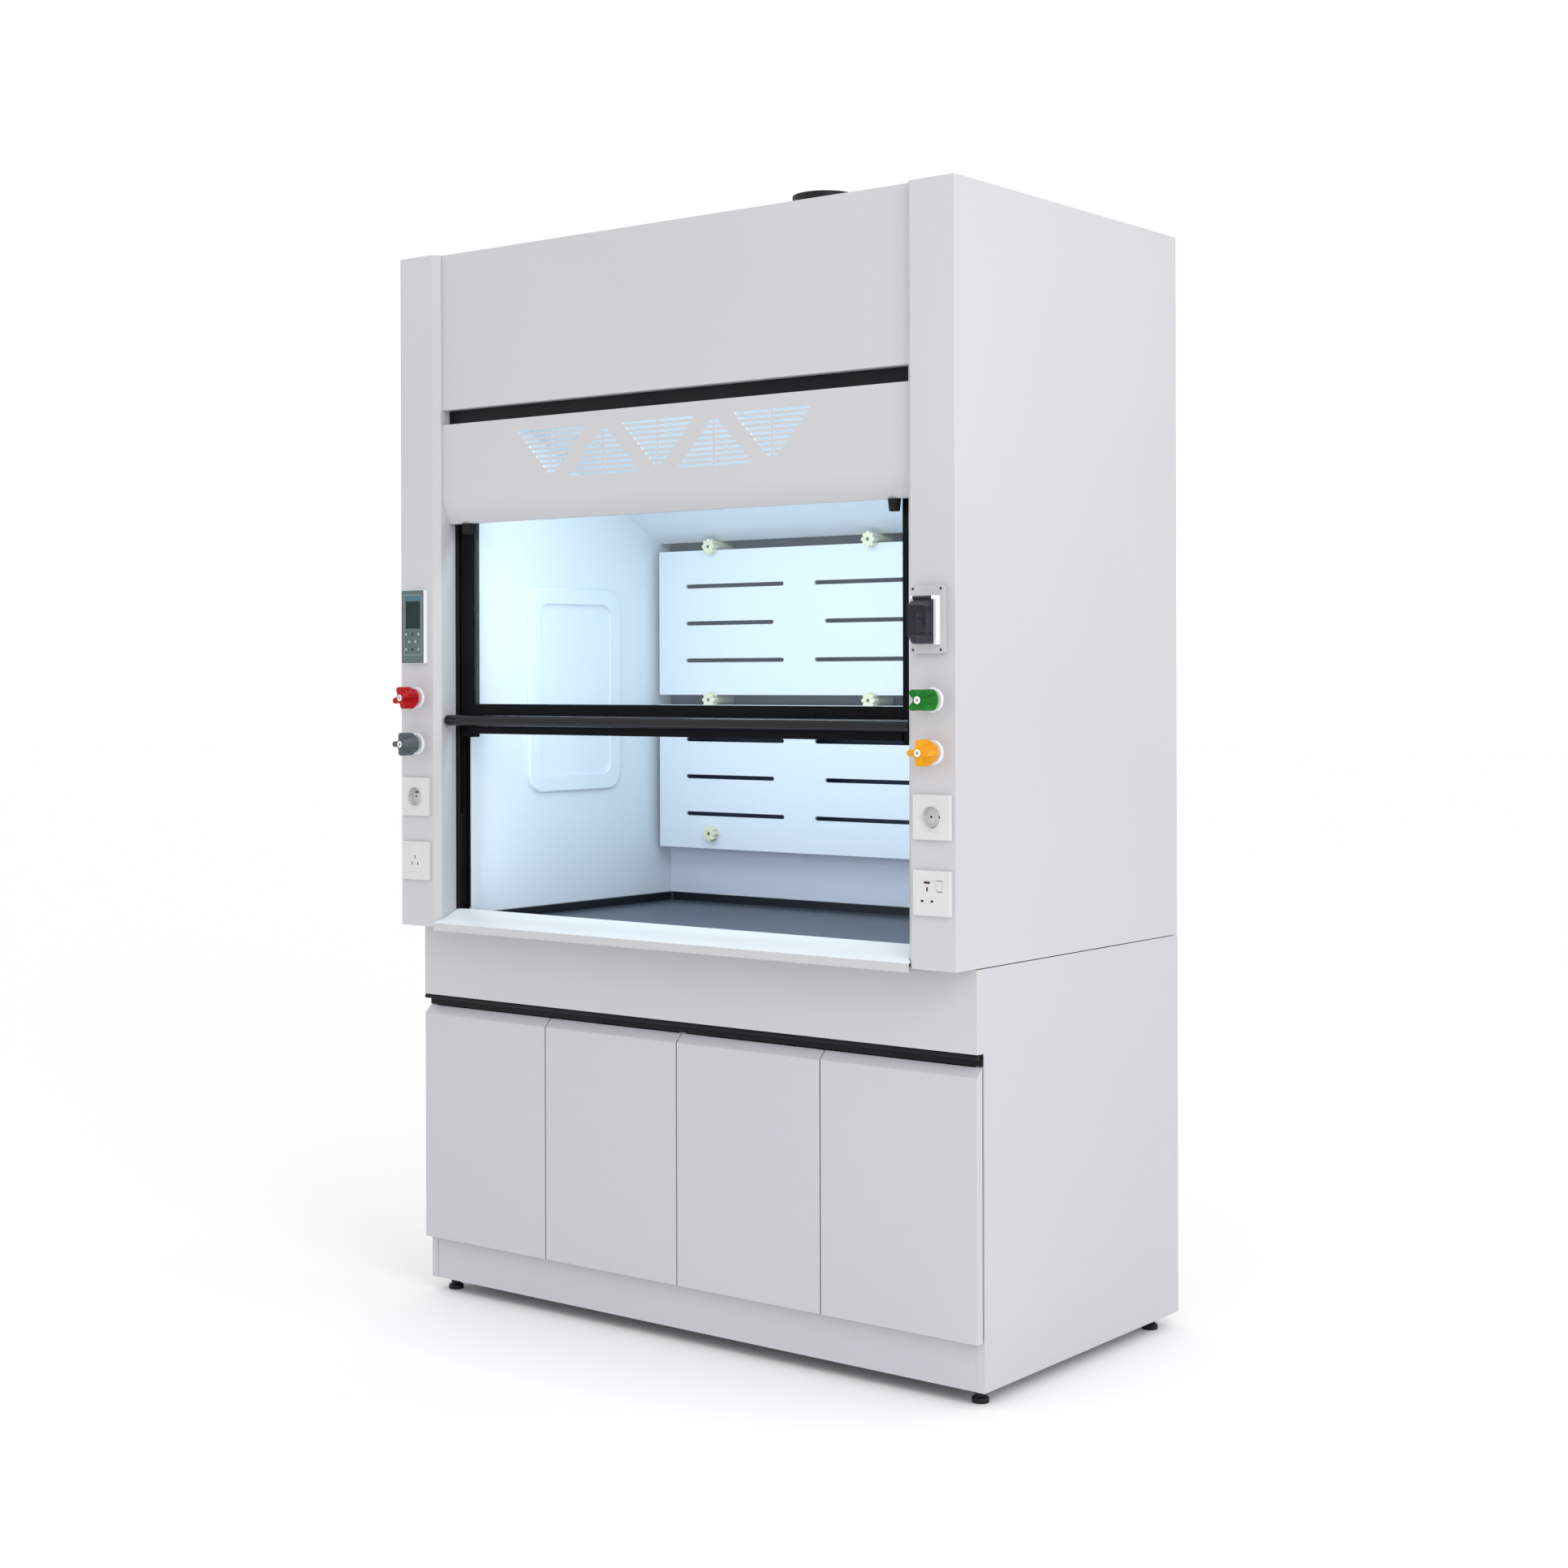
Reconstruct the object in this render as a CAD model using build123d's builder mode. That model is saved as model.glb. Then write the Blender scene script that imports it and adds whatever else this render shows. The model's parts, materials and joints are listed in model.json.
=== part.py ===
"""Ducted fume hood on a four-door base cabinet.

Frame: +X to the right of a person facing the hood, +Y to its back, +Z up.
The origin is on the floor, at the middle of the hood's overall width and depth.
Depths named below are measured back from the front face of the two pillars.
"""
from build123d import *
import os

os.makedirs("parts", exist_ok=True)

# Overall sizes
width = 1500.0
depth = 850.0
hood_bottom = 840.0
hood_height = 1495.0
sheet = 1.5
bend = 2.4
seat_gap = 0.3
control_reach = 55.0
half = width / 2
hood_top = hood_bottom + hood_height
front = -(depth - control_reach) / 2

# Pillars and front panels
pillar_face = 103.0
pillar_chamfer = 13.0
reveal_back = 57.0
header_setback = 18.0
header_height = 346.0
header_slot = 32.0
strip_setback = 40.0
strip_lap = 8.0
strip_thick = 2.0
vent_face = 162.0
vent_roll = 58.0
vent_lip_setback = 37.0
vent_lip_return = 18.0
rear_flange = 22.0
pillar_middle = half - pillar_face / 2
opening_half = half - pillar_face - pillar_chamfer
header_bottom = hood_top - header_height
vent_top = header_bottom - header_slot
vent_bend = vent_top - vent_face
vent_bottom = vent_bend - vent_roll

# Louvre triangles in the vent panel
louvre_pitch = 150.5
louvre_half_width = 100.0
louvre_drop = 29.0
louvre_rows = 10
louvre_row_pitch = 11.0
louvre_slot = 5.5
louvre_web = 4.0
louvre_shortest = 4.0
louvre_top = vent_top - louvre_drop

# Sash
sash_rest = 430.0
sash_height = 890.0
sash_front_gap = 3.0
sash_thick = 25.0
sash_up = 400.0
sash_down = 380.0
stile_width = 44.0
stile_foot = 8.0
track_gap = 3.0
bottom_rail = 66.0
top_rail = 25.0
frame_wall = 2.5
frame_cap = 4.0
rail_ledge = 15.0
rail_ledge_out = 4.0
glass = 6.0
glass_bite = 8.0
glass_groove = 0.3
handle_radius = 12.0
handle_wall = 2.5
handle_standoff = 33.0
handle_height = 30.0
handle_side_gap = 5.0
handle_end = 12.0
handle_post_radius = 7.0
handle_post_inset = 179.0
handle_dome = 3.0
sash_bottom = hood_bottom + sash_rest
sash_front = reveal_back + sash_front_gap
handle_depth = sash_front - handle_standoff

# Sash tracks and bumpers
track = 1.5
track_front_flange = 12.0
track_back_gap = 5.0
track_lip = 13.5
track_top_gap = 5.0
track_foot_gap = 1.0
bumper_inset = 170.0
bumper_lip = 6.0
bumper_top_radius = 13.0
bumper_tip_radius = 10.5
bumper_length = 24.0
bumper_round = 2.0
track_back_depth = sash_front + sash_thick + track_back_gap
bumper_offset = half - bumper_inset
bumper_depth = vent_lip_setback + bumper_lip

# Sash lift: belts, pulleys, counterweights
pulley_radius = 30.0
pulley_width = 20.0
pulley_flange = 2.0
pulley_flange_rise = 3.0
pulley_inset = 50.0
pulley_drop = 135.0
pulley_rise = 65.0
belt_width = 15.0
belt = 2.0
belt_shift = 2.5
shaft_radius = 8.0
shaft_seat = 12.0
pin_radius = 6.0
running_gap = 0.05
bearing_gap = 5.0
bearing_size = 50.0
carrier_height = 40.0
carrier_rise = 230.0
carrier_thick = 13.0
carrier_slot_gap = 0.5
carrier_end = 4.0
carrier_room = 10.0
weight_size = 50.0
weight_width = 66.0
weight_shift = 38.0
weight_length = 400.0
guide_gap = 1.0
guide_ends = 12.0
pulley_offset = half - pulley_inset
pulley_top = hood_top - pulley_drop
pulley_low = hood_bottom + pulley_rise
carrier_depth = sash_front + sash_thick / 2
belt_depth = carrier_depth + belt_shift
carrier_middle = sash_bottom + carrier_rise
weight_middle = (pulley_top + pulley_low + sash_up - sash_down) / 2

# Worktop and airfoil sill
worktop_drop = 14.0
worktop = 20.0
worktop_sill_gap = 4.0
rim_width = 12.0
rim_rise = 20.0
rim_round = 8.0
sill_sheet = 2.0
sill_nose = 5.0
sill_drop = 8.0
sill_lip = 18.0
sill_rise = 28.0
sill_crest_depth = 60.0
sill_back_depth = 88.0
sill_back_drop = 3.0
sill_tail_depth = 68.0
sill_nose_wrap = 9.0
sill_side_gap = 2.0
sill_seat = 1.0
worktop_bottom = hood_bottom - worktop_drop
worktop_top = worktop_bottom + worktop
worktop_front = sill_tail_depth + worktop_sill_gap
sill_bottom = hood_bottom - sill_drop
sill_lip_top = sill_bottom + sill_lip
sill_crest = sill_lip_top + sill_rise
sill_nose_half = opening_half + sill_nose_wrap
sill_foot = worktop_top - sill_seat + seat_gap

# Lined chamber
liner = 6.0
chamber_inset = 130.0
chamber_front_gap = 0.5
chamber_back_gap = 70.0
ceiling_drop = 330.0
baffle = 5.0
baffle_side_gap = 20.0
baffle_gap = 65.0
baffle_foot = 136.0
lower_baffle_height = 346.0
baffle_break = 24.0
upper_baffle_height = 348.0
slot_height = 10.0
slot_pitch = 89.5
slot_rise = 83.0
slot_margin = 85.0
slot_long = 300.0
slot_gap = 91.0
slot_trim = 30.0
slope_gap = 22.0
slope_back_gap = 38.0
slope_lamp_gap = 19.0
knob_inset = 168.0
knob_middle = 41.0
knob_low_rise = 37.0
knob_top_rise = 8.0
baffle_knob_radius = 19.0
baffle_knob_length = 17.0
baffle_knob_lobe = 5.0
baffle_knob_bevel = 0.8
standoff_radius = 14.0
stud_radius = 4.0
stud_recess = 3.0
stud_hole_gap = 0.5
thread_gap = 0.1
chamber_half = half - chamber_inset
chamber_front = track_back_depth + chamber_front_gap
chamber_back = depth - chamber_back_gap
ceiling = hood_top - ceiling_drop
baffle_half = chamber_half - baffle_side_gap
baffle_depth = chamber_back - baffle_gap
lower_baffle_bottom = worktop_top + baffle_foot
lower_baffle_top = lower_baffle_bottom + lower_baffle_height
upper_baffle_bottom = lower_baffle_top + baffle_break
upper_baffle_top = upper_baffle_bottom + upper_baffle_height
slope_low = upper_baffle_top + slope_gap
slope_low_depth = chamber_back - slope_back_gap
knob_column = baffle_half - knob_inset
knob_rows = (
    lower_baffle_bottom + knob_low_rise,
    lower_baffle_top + baffle_break / 2,
    upper_baffle_top + knob_top_rise,
)

# Access covers in the chamber's side walls
cover_setback = 179.5
cover_length = 316.0
cover_rise_from_top = 282.0
cover_height = 475.0
cover_ring = 36.0
cover_rise = 9.0
cover_panel = 3.0
cover_corner = 46.0
cover_middle_depth = chamber_front + cover_setback + cover_length / 2
cover_middle_z = worktop_top + cover_rise_from_top + cover_height / 2

# Lamp over the chamber
lamp_inset = 100.0
lamp_setback = 21.5
lamp_depth = 84.0
lamp_edge = 14.0
lamp_rise = 62.0
lens = 4.0
lamp_half = chamber_half - lamp_inset
lamp_front = chamber_front + lamp_setback
lamp_back = lamp_front + lamp_depth
slope_high_depth = lamp_back + slope_lamp_gap

# Roof and exhaust collar
roof_setback = 5.5
roof_lip = 25.0
collar_back = 185.0
collar_radius = 73.5
collar_wall = 4.0
collar_flange_radius = 110.0
collar_flange = 6.0
collar_rise = 142.0
collar_bevel = 1.2
roof_front = chamber_front + roof_setback
collar_depth = chamber_back - collar_back

# Base cabinet
board = 18.0
base_setback = 92.0
base_seam = 2.0
foot_height = 30.0
plinth_height = 96.0
door_stand = 22.0
door_air = 4.0
door_gap = 3.0
door_count = 4
door_edge = 1.5
door_corner = 1.0
plinth_setback = 1.0
plinth_beam = 42.0
plinth_gap = 2.0
back_board = 10.0
apron_height = 161.0
pull_height = 27.0
pull_lip = 10.0
pull_plate = 2.0
pull_air = 2.0
pull_back_gap = 1.0
pull_side_gap = 1.0
hinge_arm_inset = 20.0
hinge_arm = 14.0
hinge_arm_length = 46.0
hinge_arm_height = 16.0
hinge_plate_setback = 6.0
hinge_plate_length = 36.0
hinge_plate_height = 28.0
hinge_low = 84.0
hinge_high = 90.0
hinge_cup_radius = 17.5
hinge_cup_inset = 44.0
hinge_cup_rise = 0.8
foot_inset = 36.0
foot_front_inset = 40.0
foot_back_inset = 60.0
foot_radius = 17.0
foot_pad = 11.0
foot_round = 4.0
foot_collar = 5.0
foot_collar_gap = 6.0
foot_stud_radius = 6.0
foot_stud = 92.0
base_front = base_setback
base_top = hood_bottom - base_seam
door_front = base_front - door_stand
door_bottom = foot_height + plinth_height
apron_bottom = base_top - apron_height
door_top = apron_bottom - pull_height
pull_bottom = door_top + pull_air
pull_back = base_front - pull_back_gap
hinge_heights = (door_bottom + hinge_low, door_top - hinge_high)
foot_front = base_front + foot_front_inset
foot_back = depth - foot_back_inset

# Controls on the pillars
valve_upper_rise = 510.0
valve_left_rise = 407.0
valve_right_rise = 411.0
rosette_radius = 24.0
rosette = 5.0
rosette_round = 3.5
shank_radius = 11.0
valve_block = 40.0
stem_radius = 4.0
stem_length = 34.0
knob_tip = 25.5
knob_core = 12.0
knob_belly = 21.0
knob_belly_short = 4.0
knob_shoulder = 12.0
knob_lobe = 13.0
knob_round = 1.6
knob_neck = 9.0
knob_front = 52.0
knob_back = 12.0
knob_cap_radius = 8.5
knob_cap = 1.2
plate_size = 86.0
plate = 8.0
plate_corner = 3.0
plate_round = 2.0
plate_upper_rise = 289.0
plate_lower_rise = 146.0
plate_box_radius = 29.0
plate_box = 30.0
earth_round_radius = 21.0
earth_round_depth = 14.0
earth_round_edge = 2.0
earth_round_rise = 1.5
pin_hole_radius = 2.4
pin_hole_spread = 9.5
pin_hole_depth = 16.0
earth_pin_rise = 10.0
earth_pin_length = 10.0
contact_depth = 18.0
contact_shift = 10.0
earth_rise = 7.5
contact_drop = 15.0
contact_spread = 11.2
cable_gap = 1.0
valve_upper = hood_bottom + valve_upper_rise
valve_lower_left = hood_bottom + valve_left_rise
valve_lower_right = hood_bottom + valve_right_rise
plate_upper = hood_bottom + plate_upper_rise
plate_lower = hood_bottom + plate_lower_rise
contact_x = pillar_middle - contact_shift
earth_z = plate_lower + earth_rise
contact_z = plate_lower - contact_drop

# Controller
controller_inset = 50.0
controller_rise = 668.5
controller_width = 72.0
controller_height = 165.0
controller_corner = 4.0
controller_round = 1.5
controller_out = 12.0
controller_back = 25.0
controller_body_inset = 6.0
display_width = 48.0
display_height = 61.0
display_rise = 26.5
display_recess = 1.0
display_pocket = 4.0
key_radius = 4.5
key_rise = 0.6
key_pitch = 20.0
key_row_pitch = 17.0
key_drop = 16.5
controller_middle_x = -(half - controller_inset)
controller_middle_z = hood_bottom + controller_rise
display_middle_z = controller_middle_z + display_rise
key_top_row = controller_middle_z - key_drop

# Circuit breaker box
breaker_width = 75.0
breaker_height = 128.5
breaker_shift = 5.0
breaker_rise = 597.5
breaker_base = 13.0
breaker_round = 3.0
module_width = 53.0
module_height = 92.0
module_shift = 1.0
module_foot = 16.5
module_out = 28.0
window_wall = 2.0
window_out = 55.0
window_low = 17.0
window_high = 18.0
window_shelf = 8.0
window_step = 4.0
window_hinge_radius = 4.0
window_hinge_gap = 2.0
window_hinge_pin = 1.5
ear = 5.0
lever_rise = 45.0
lever_reach = 17.0
lever_width = 9.0
lever_barrel = 6.0
lever_pin = 2.0
lever_sink = 5.0
lever_slot = 15.0
lever_slot_depth = 14.0
rocker_shift = 18.5
rocker_rise = 14.0
rocker_width = 13.0
rocker_height = 22.0
rocker_depth = 5.0
rocker_well = 4.0
rocker_pin = 1.0
breaker_left = pillar_middle - breaker_shift - breaker_width / 2
breaker_right = breaker_left + breaker_width
breaker_bottom = hood_bottom + breaker_rise
breaker_top = breaker_bottom + breaker_height
module_middle = pillar_middle - module_shift
module_left = module_middle - module_width / 2
module_right = module_middle + module_width / 2
module_bottom = breaker_bottom + module_foot
module_top = module_bottom + module_height
window_bulge_low = module_bottom + window_low
window_bulge_high = module_top - window_high
lever_z = module_bottom + lever_rise
rocker_x = pillar_middle + rocker_shift
rocker_z = plate_lower + rocker_rise


# Shared shapes
plan = Plane((0, front, 0))
section = Plane(origin=(0, front, 0), x_dir=(0, 1, 0), z_dir=(1, 0, 0))
elevation = Plane(origin=(0, front, 0), x_dir=(1, 0, 0), z_dir=(0, -1, 0))


def block(x0, x1, d0, d1, z0, z1, mode=Mode.ADD):
    """Box between two widths, two depths and two heights."""
    with Locations(((x0 + x1) / 2, front + (d0 + d1) / 2, (z0 + z1) / 2)):
        Box(x1 - x0, d1 - d0, z1 - z0, mode=mode)


def rod_across(radius, x0, x1, d, z, mode=Mode.ADD):
    """Round bar along the width."""
    with Locations(Location(((x0 + x1) / 2, front + d, z), (0, 90, 0))):
        Cylinder(radius, x1 - x0, mode=mode)


def rod_back(radius, x, d0, d1, z, mode=Mode.ADD):
    """Round bar along the depth."""
    with Locations(Location((x, front + (d0 + d1) / 2, z), (90, 0, 0))):
        Cylinder(radius, d1 - d0, mode=mode)


def rod_up(radius, x, d, z0, z1, mode=Mode.ADD):
    """Round bar along the height."""
    with Locations((x, front + d, (z0 + z1) / 2)):
        Cylinder(radius, z1 - z0, mode=mode)


def folded(plane, points, length, side, thickness=sheet):
    """Sheet folded along its outer face and run out from a plane."""
    with BuildPart() as piece:
        with BuildSketch(plane):
            with BuildLine():
                FilletPolyline(*points, radius=bend)
                offset(amount=thickness, side=side)
            make_face()
        extrude(amount=length)
    return piece.part


def mirrored(part):
    """The same piece on the other side of the hood."""
    with BuildPart() as twin:
        mirror(part, about=Plane.YZ)
    return twin.part


def save(part, label):
    """Label a finished piece and write it."""
    part.label = label
    export_step(part, f"parts/{label}.step")


# Side shells, each with its pillar and floor
pillar_inner = opening_half + pillar_chamfer
shell_path = [
    (opening_half, reveal_back - seat_gap),
    (opening_half, pillar_chamfer),
    (pillar_inner, 0),
    (half, 0),
    (half, depth),
    (half - rear_flange, depth),
]
shell_height = hood_top - hood_bottom
floor_path = [
    (opening_half + sheet + seat_gap, reveal_back),
    (opening_half + sheet + seat_gap, pillar_chamfer + sheet),
    (pillar_inner + sheet, sheet),
    (half - sheet, sheet),
    (half - sheet, depth - sheet),
    (chamber_half + liner + 1, depth - sheet),
    (chamber_half + liner + 1, track_back_depth + 1),
]


def side_shell(valve_heights):
    """Right-hand shell: folded wall and pillar, floor plate, holes for the fittings."""
    with BuildPart() as shell:
        add(folded(plan.offset(hood_bottom), shell_path, shell_height, Side.LEFT))
        with BuildSketch(plan.offset(hood_bottom)):
            Polygon(*floor_path, align=None)
        extrude(amount=sheet)
        for height in valve_heights:
            rod_back(shank_radius + cable_gap, pillar_middle, -1, sheet + 1, height, Mode.SUBTRACT)
        for height in (plate_upper, plate_lower):
            rod_back(plate_box_radius + cable_gap, pillar_middle, -1, sheet + 1, height, Mode.SUBTRACT)
    return shell.part


with BuildPart() as side_shell_right:
    add(side_shell((valve_upper, valve_lower_right)))
    rod_back(12, (breaker_left + breaker_right) / 2, -1, sheet + 1, lever_z, Mode.SUBTRACT)
save(side_shell_right.part, "side_shell_right")

controller_hole = controller_width / 2 - controller_body_inset + cable_gap
with BuildPart() as side_shell_left:
    add(mirrored(side_shell((valve_upper, valve_lower_left))))
    block(controller_middle_x - controller_hole, controller_middle_x + controller_hole,
          -1, sheet + 1,
          controller_middle_z - controller_height / 2 + controller_body_inset - cable_gap,
          controller_middle_z + controller_height / 2 - controller_body_inset + cable_gap, Mode.SUBTRACT)
save(side_shell_left.part, "side_shell_left")

# Header panel, between the pillars
panel_half = opening_half - seat_gap
panel_start = section.offset(-panel_half)
header_path = [
    (strip_setback, header_bottom),
    (header_setback, header_bottom),
    (header_setback, hood_top),
    (strip_setback, hood_top),
]
header_panel = folded(panel_start, header_path, 2 * panel_half, Side.RIGHT)
save(header_panel, "header_panel")

# Black strip in the slot under the header
with BuildPart() as header_trim_strip:
    block(-panel_half, panel_half, strip_setback + seat_gap, strip_setback + seat_gap + strip_thick,
          vent_top - strip_lap, header_bottom + strip_lap)
save(header_trim_strip.part, "header_trim_strip")


# Vent panel with its rolled lip and louvres
def louvre_slots():
    """Slots that fill five triangles, point down and point up in turn."""
    field = (louvre_rows - 1) * louvre_row_pitch + louvre_slot
    faces = []
    for triangle in range(5):
        middle = (triangle - 2) * louvre_pitch
        for row in range(louvre_rows):
            top = row * louvre_row_pitch
            bottom = top + louvre_slot
            share_top = top / field if triangle % 2 else 1 - top / field
            share_bottom = bottom / field if triangle % 2 else 1 - bottom / field
            reach_top = share_top * louvre_half_width
            reach_bottom = share_bottom * louvre_half_width
            if (reach_top + reach_bottom - louvre_web) / 2 < louvre_shortest:
                continue
            inner = louvre_web / 2
            for hand in (-1, 1):
                corners = [
                    (middle + hand * inner, louvre_top - top),
                    (middle + hand * reach_top, louvre_top - top),
                    (middle + hand * max(reach_bottom, inner), louvre_top - bottom),
                    (middle + hand * inner, louvre_top - bottom),
                ]
                if reach_bottom <= inner:
                    corners = corners[:2] + [corners[3]]
                faces.append(Polygon(*corners, align=None, mode=Mode.PRIVATE))
    return faces


with BuildPart() as vent_panel:
    with BuildSketch(panel_start):
        with BuildLine():
            Line((strip_setback, vent_top), (header_setback, vent_top))
            Line((header_setback, vent_top), (header_setback, vent_bend))
            roll = TangentArc((header_setback, vent_bend), (vent_lip_setback, vent_bottom),
                              tangent=(0, -1))
            Line(roll @ 1, (vent_lip_setback + vent_lip_return, vent_bottom))
            offset(amount=sheet, side=Side.LEFT)
        make_face()
    extrude(amount=2 * panel_half)
    with BuildSketch(elevation.offset(-header_setback + 1)):
        add(louvre_slots())
    extrude(amount=-sheet - 2, mode=Mode.SUBTRACT)
save(vent_panel.part, "vent_panel")

# Roof, back and exhaust collar
inner_half = half - sheet - seat_gap
roof_path = [
    (roof_front, hood_top - roof_lip),
    (roof_front, hood_top),
    (depth - 2 * sheet - 2 * seat_gap, hood_top),
    (depth - 2 * sheet - 2 * seat_gap, hood_top - roof_lip),
]
with BuildPart() as roof_panel:
    add(folded(section.offset(-inner_half), roof_path, 2 * inner_half, Side.RIGHT))
    rod_up(collar_radius + seat_gap, 0, collar_depth, hood_top - 5, hood_top + 1, Mode.SUBTRACT)
save(roof_panel.part, "roof_panel")

with BuildPart() as back_panel:
    block(-inner_half, inner_half, depth - 2 * sheet - seat_gap, depth - sheet - seat_gap,
          hood_bottom + sheet + seat_gap, hood_top - 1)
save(back_panel.part, "back_panel")

collar_seat = ceiling + liner + seat_gap
with BuildPart() as exhaust_collar:
    rod_up(collar_flange_radius, 0, collar_depth, collar_seat, collar_seat + collar_flange)
    rod_up(collar_radius, 0, collar_depth, collar_seat, hood_top + collar_rise)
    rod_up(collar_radius - collar_wall, 0, collar_depth, collar_seat - 1,
           hood_top + collar_rise + 1, Mode.SUBTRACT)
    chamfer(exhaust_collar.edges().group_by(Axis.Z)[-1], collar_bevel)
save(exhaust_collar.part, "exhaust_collar")

# Chamber liner
wall_plane = Plane(origin=(chamber_half, front, 0), x_dir=(0, 1, 0), z_dir=(1, 0, 0))
with BuildPart() as liner_right:
    block(chamber_half, chamber_half + liner, chamber_front, chamber_back - seat_gap,
          hood_bottom, ceiling)
    with BuildSketch(wall_plane):
        with Locations((cover_middle_depth, cover_middle_z)):
            RectangleRounded(cover_length - 2 * cover_ring, cover_height - 2 * cover_ring,
                             cover_corner - cover_ring / 2)
    extrude(amount=liner, mode=Mode.SUBTRACT)
with BuildPart() as liner_sides:
    add(liner_right.part)
    add(mirrored(liner_right.part))
save(liner_sides.part, "liner_sides")

with BuildPart() as liner_back:
    block(-chamber_half - liner, chamber_half + liner, chamber_back, chamber_back + liner,
          hood_bottom, ceiling)
save(liner_back.part, "liner_back")

with BuildPart() as liner_ceiling:
    block(-chamber_half - liner, chamber_half + liner, chamber_front, chamber_back + liner,
          ceiling + seat_gap, ceiling + liner)
    block(-lamp_half, lamp_half, lamp_front, lamp_back, ceiling, ceiling + liner + 1, Mode.SUBTRACT)
    rod_up(collar_radius - collar_wall, 0, collar_depth, ceiling, ceiling + liner + 1, Mode.SUBTRACT)
save(liner_ceiling.part, "liner_ceiling")

# Access covers: a panel with a raised rounded ring
with BuildPart() as access_cover:
    with BuildSketch(wall_plane.offset(-seat_gap)):
        with Locations((cover_middle_depth, cover_middle_z)):
            RectangleRounded(cover_length, cover_height, cover_corner)
    extrude(amount=-cover_rise)
    fillet(access_cover.faces().sort_by(Axis.X)[0].edges(), cover_rise / 2)
    with BuildSketch(wall_plane.offset(-seat_gap - cover_panel)):
        with Locations((cover_middle_depth, cover_middle_z)):
            RectangleRounded(cover_length - 2 * cover_ring, cover_height - 2 * cover_ring,
                             cover_corner - cover_ring / 2)
    extrude(amount=-cover_rise, mode=Mode.SUBTRACT)
with BuildPart() as access_covers:
    add(access_cover.part)
    add(mirrored(access_cover.part))
save(access_covers.part, "access_covers")

# Sloped top baffle
slope_high = ceiling - seat_gap - baffle
with BuildPart() as top_baffle:
    with BuildSketch(section.offset(-chamber_half + seat_gap)):
        Polygon((slope_low_depth, slope_low), (slope_low_depth, slope_low + baffle),
                (slope_high_depth, slope_high + baffle), (slope_high_depth, slope_high), align=None)
    extrude(amount=2 * (chamber_half - seat_gap))
save(top_baffle.part, "top_baffle")

# Slotted back baffles
def slot_row(short):
    """Ends of the slots in a row; a short row's slots are trimmed beside the first gap."""
    row = []
    limit = baffle_half - slot_margin
    start = -limit
    while start + slot_trim + 2 * slot_height < limit:
        row.append([start, min(start + slot_long, limit)])
        start += slot_long + slot_gap
    if short:
        row[0][1] -= slot_trim
        for later in row[1:]:
            later[0] += slot_trim
    return row


def back_baffle(bottom, top):
    """Slotted board that stands off the back wall."""
    with BuildPart() as board_piece:
        block(-baffle_half, baffle_half, baffle_depth, baffle_depth + baffle, bottom, top)
        with BuildSketch(elevation.offset(-baffle_depth)):
            for index in range(3):
                for start, end in slot_row(index == 1):
                    with Locations(((start + end) / 2, bottom + slot_rise + index * slot_pitch)):
                        SlotOverall(end - start, slot_height)
        extrude(amount=-baffle, mode=Mode.SUBTRACT)
        for row_height in knob_rows:
            if bottom < row_height < top:
                for hand in (-1, 1):
                    rod_back(stud_radius + stud_hole_gap, hand * knob_column, baffle_depth - 1,
                             baffle_depth + baffle + 1, row_height, Mode.SUBTRACT)
    return board_piece.part


save(back_baffle(upper_baffle_bottom, upper_baffle_top), "upper_baffle")
save(back_baffle(lower_baffle_bottom, lower_baffle_top), "lower_baffle")

# Baffle knobs and the standoffs that carry their studs
knob_places = [(hand * knob_column, row) for row in knob_rows for hand in (-1, 1)]
knob_places += [(knob_middle, row) for row in knob_rows[1:]]
knob_face = baffle_depth - seat_gap
with BuildPart() as baffle_standoffs:
    for x, z in knob_places:
        rod_back(standoff_radius, x, baffle_depth + baffle + seat_gap, chamber_back - seat_gap, z)
        rod_back(stud_radius, x, knob_face - baffle_knob_length + stud_recess,
                 baffle_depth + baffle + 1, z)
save(baffle_standoffs.part, "baffle_standoffs")

with BuildPart() as baffle_knobs:
    with BuildSketch(elevation.offset(-knob_face)):
        with Locations(*knob_places):
            Circle(baffle_knob_radius - baffle_knob_lobe)
            with PolarLocations(baffle_knob_radius - baffle_knob_lobe, 8):
                Circle(baffle_knob_lobe)
            Circle(stud_radius + thread_gap, mode=Mode.SUBTRACT)
    extrude(amount=baffle_knob_length)
    chamfer(baffle_knobs.edges().group_by(Axis.Y)[0], baffle_knob_bevel)
save(baffle_knobs.part, "baffle_knobs")

# Lamp: sheet tray over the ceiling opening and its lens
with BuildPart() as lamp_housing:
    block(-lamp_half - lamp_edge, lamp_half + lamp_edge, lamp_front - lamp_edge, lamp_back + lamp_edge,
          ceiling + liner + seat_gap, ceiling + liner + seat_gap + lamp_rise)
    block(-lamp_half - lamp_edge + sheet, lamp_half + lamp_edge - sheet,
          lamp_front - lamp_edge + sheet, lamp_back + lamp_edge - sheet,
          ceiling + liner, ceiling + liner + seat_gap + lamp_rise - sheet, Mode.SUBTRACT)
save(lamp_housing.part, "lamp_housing")
with BuildPart() as lamp_lens:
    block(-lamp_half + seat_gap, lamp_half - seat_gap, lamp_front + seat_gap, lamp_back - seat_gap,
          ceiling + seat_gap, ceiling + seat_gap + lens)
save(lamp_lens.part, "lamp_lens")

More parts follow.
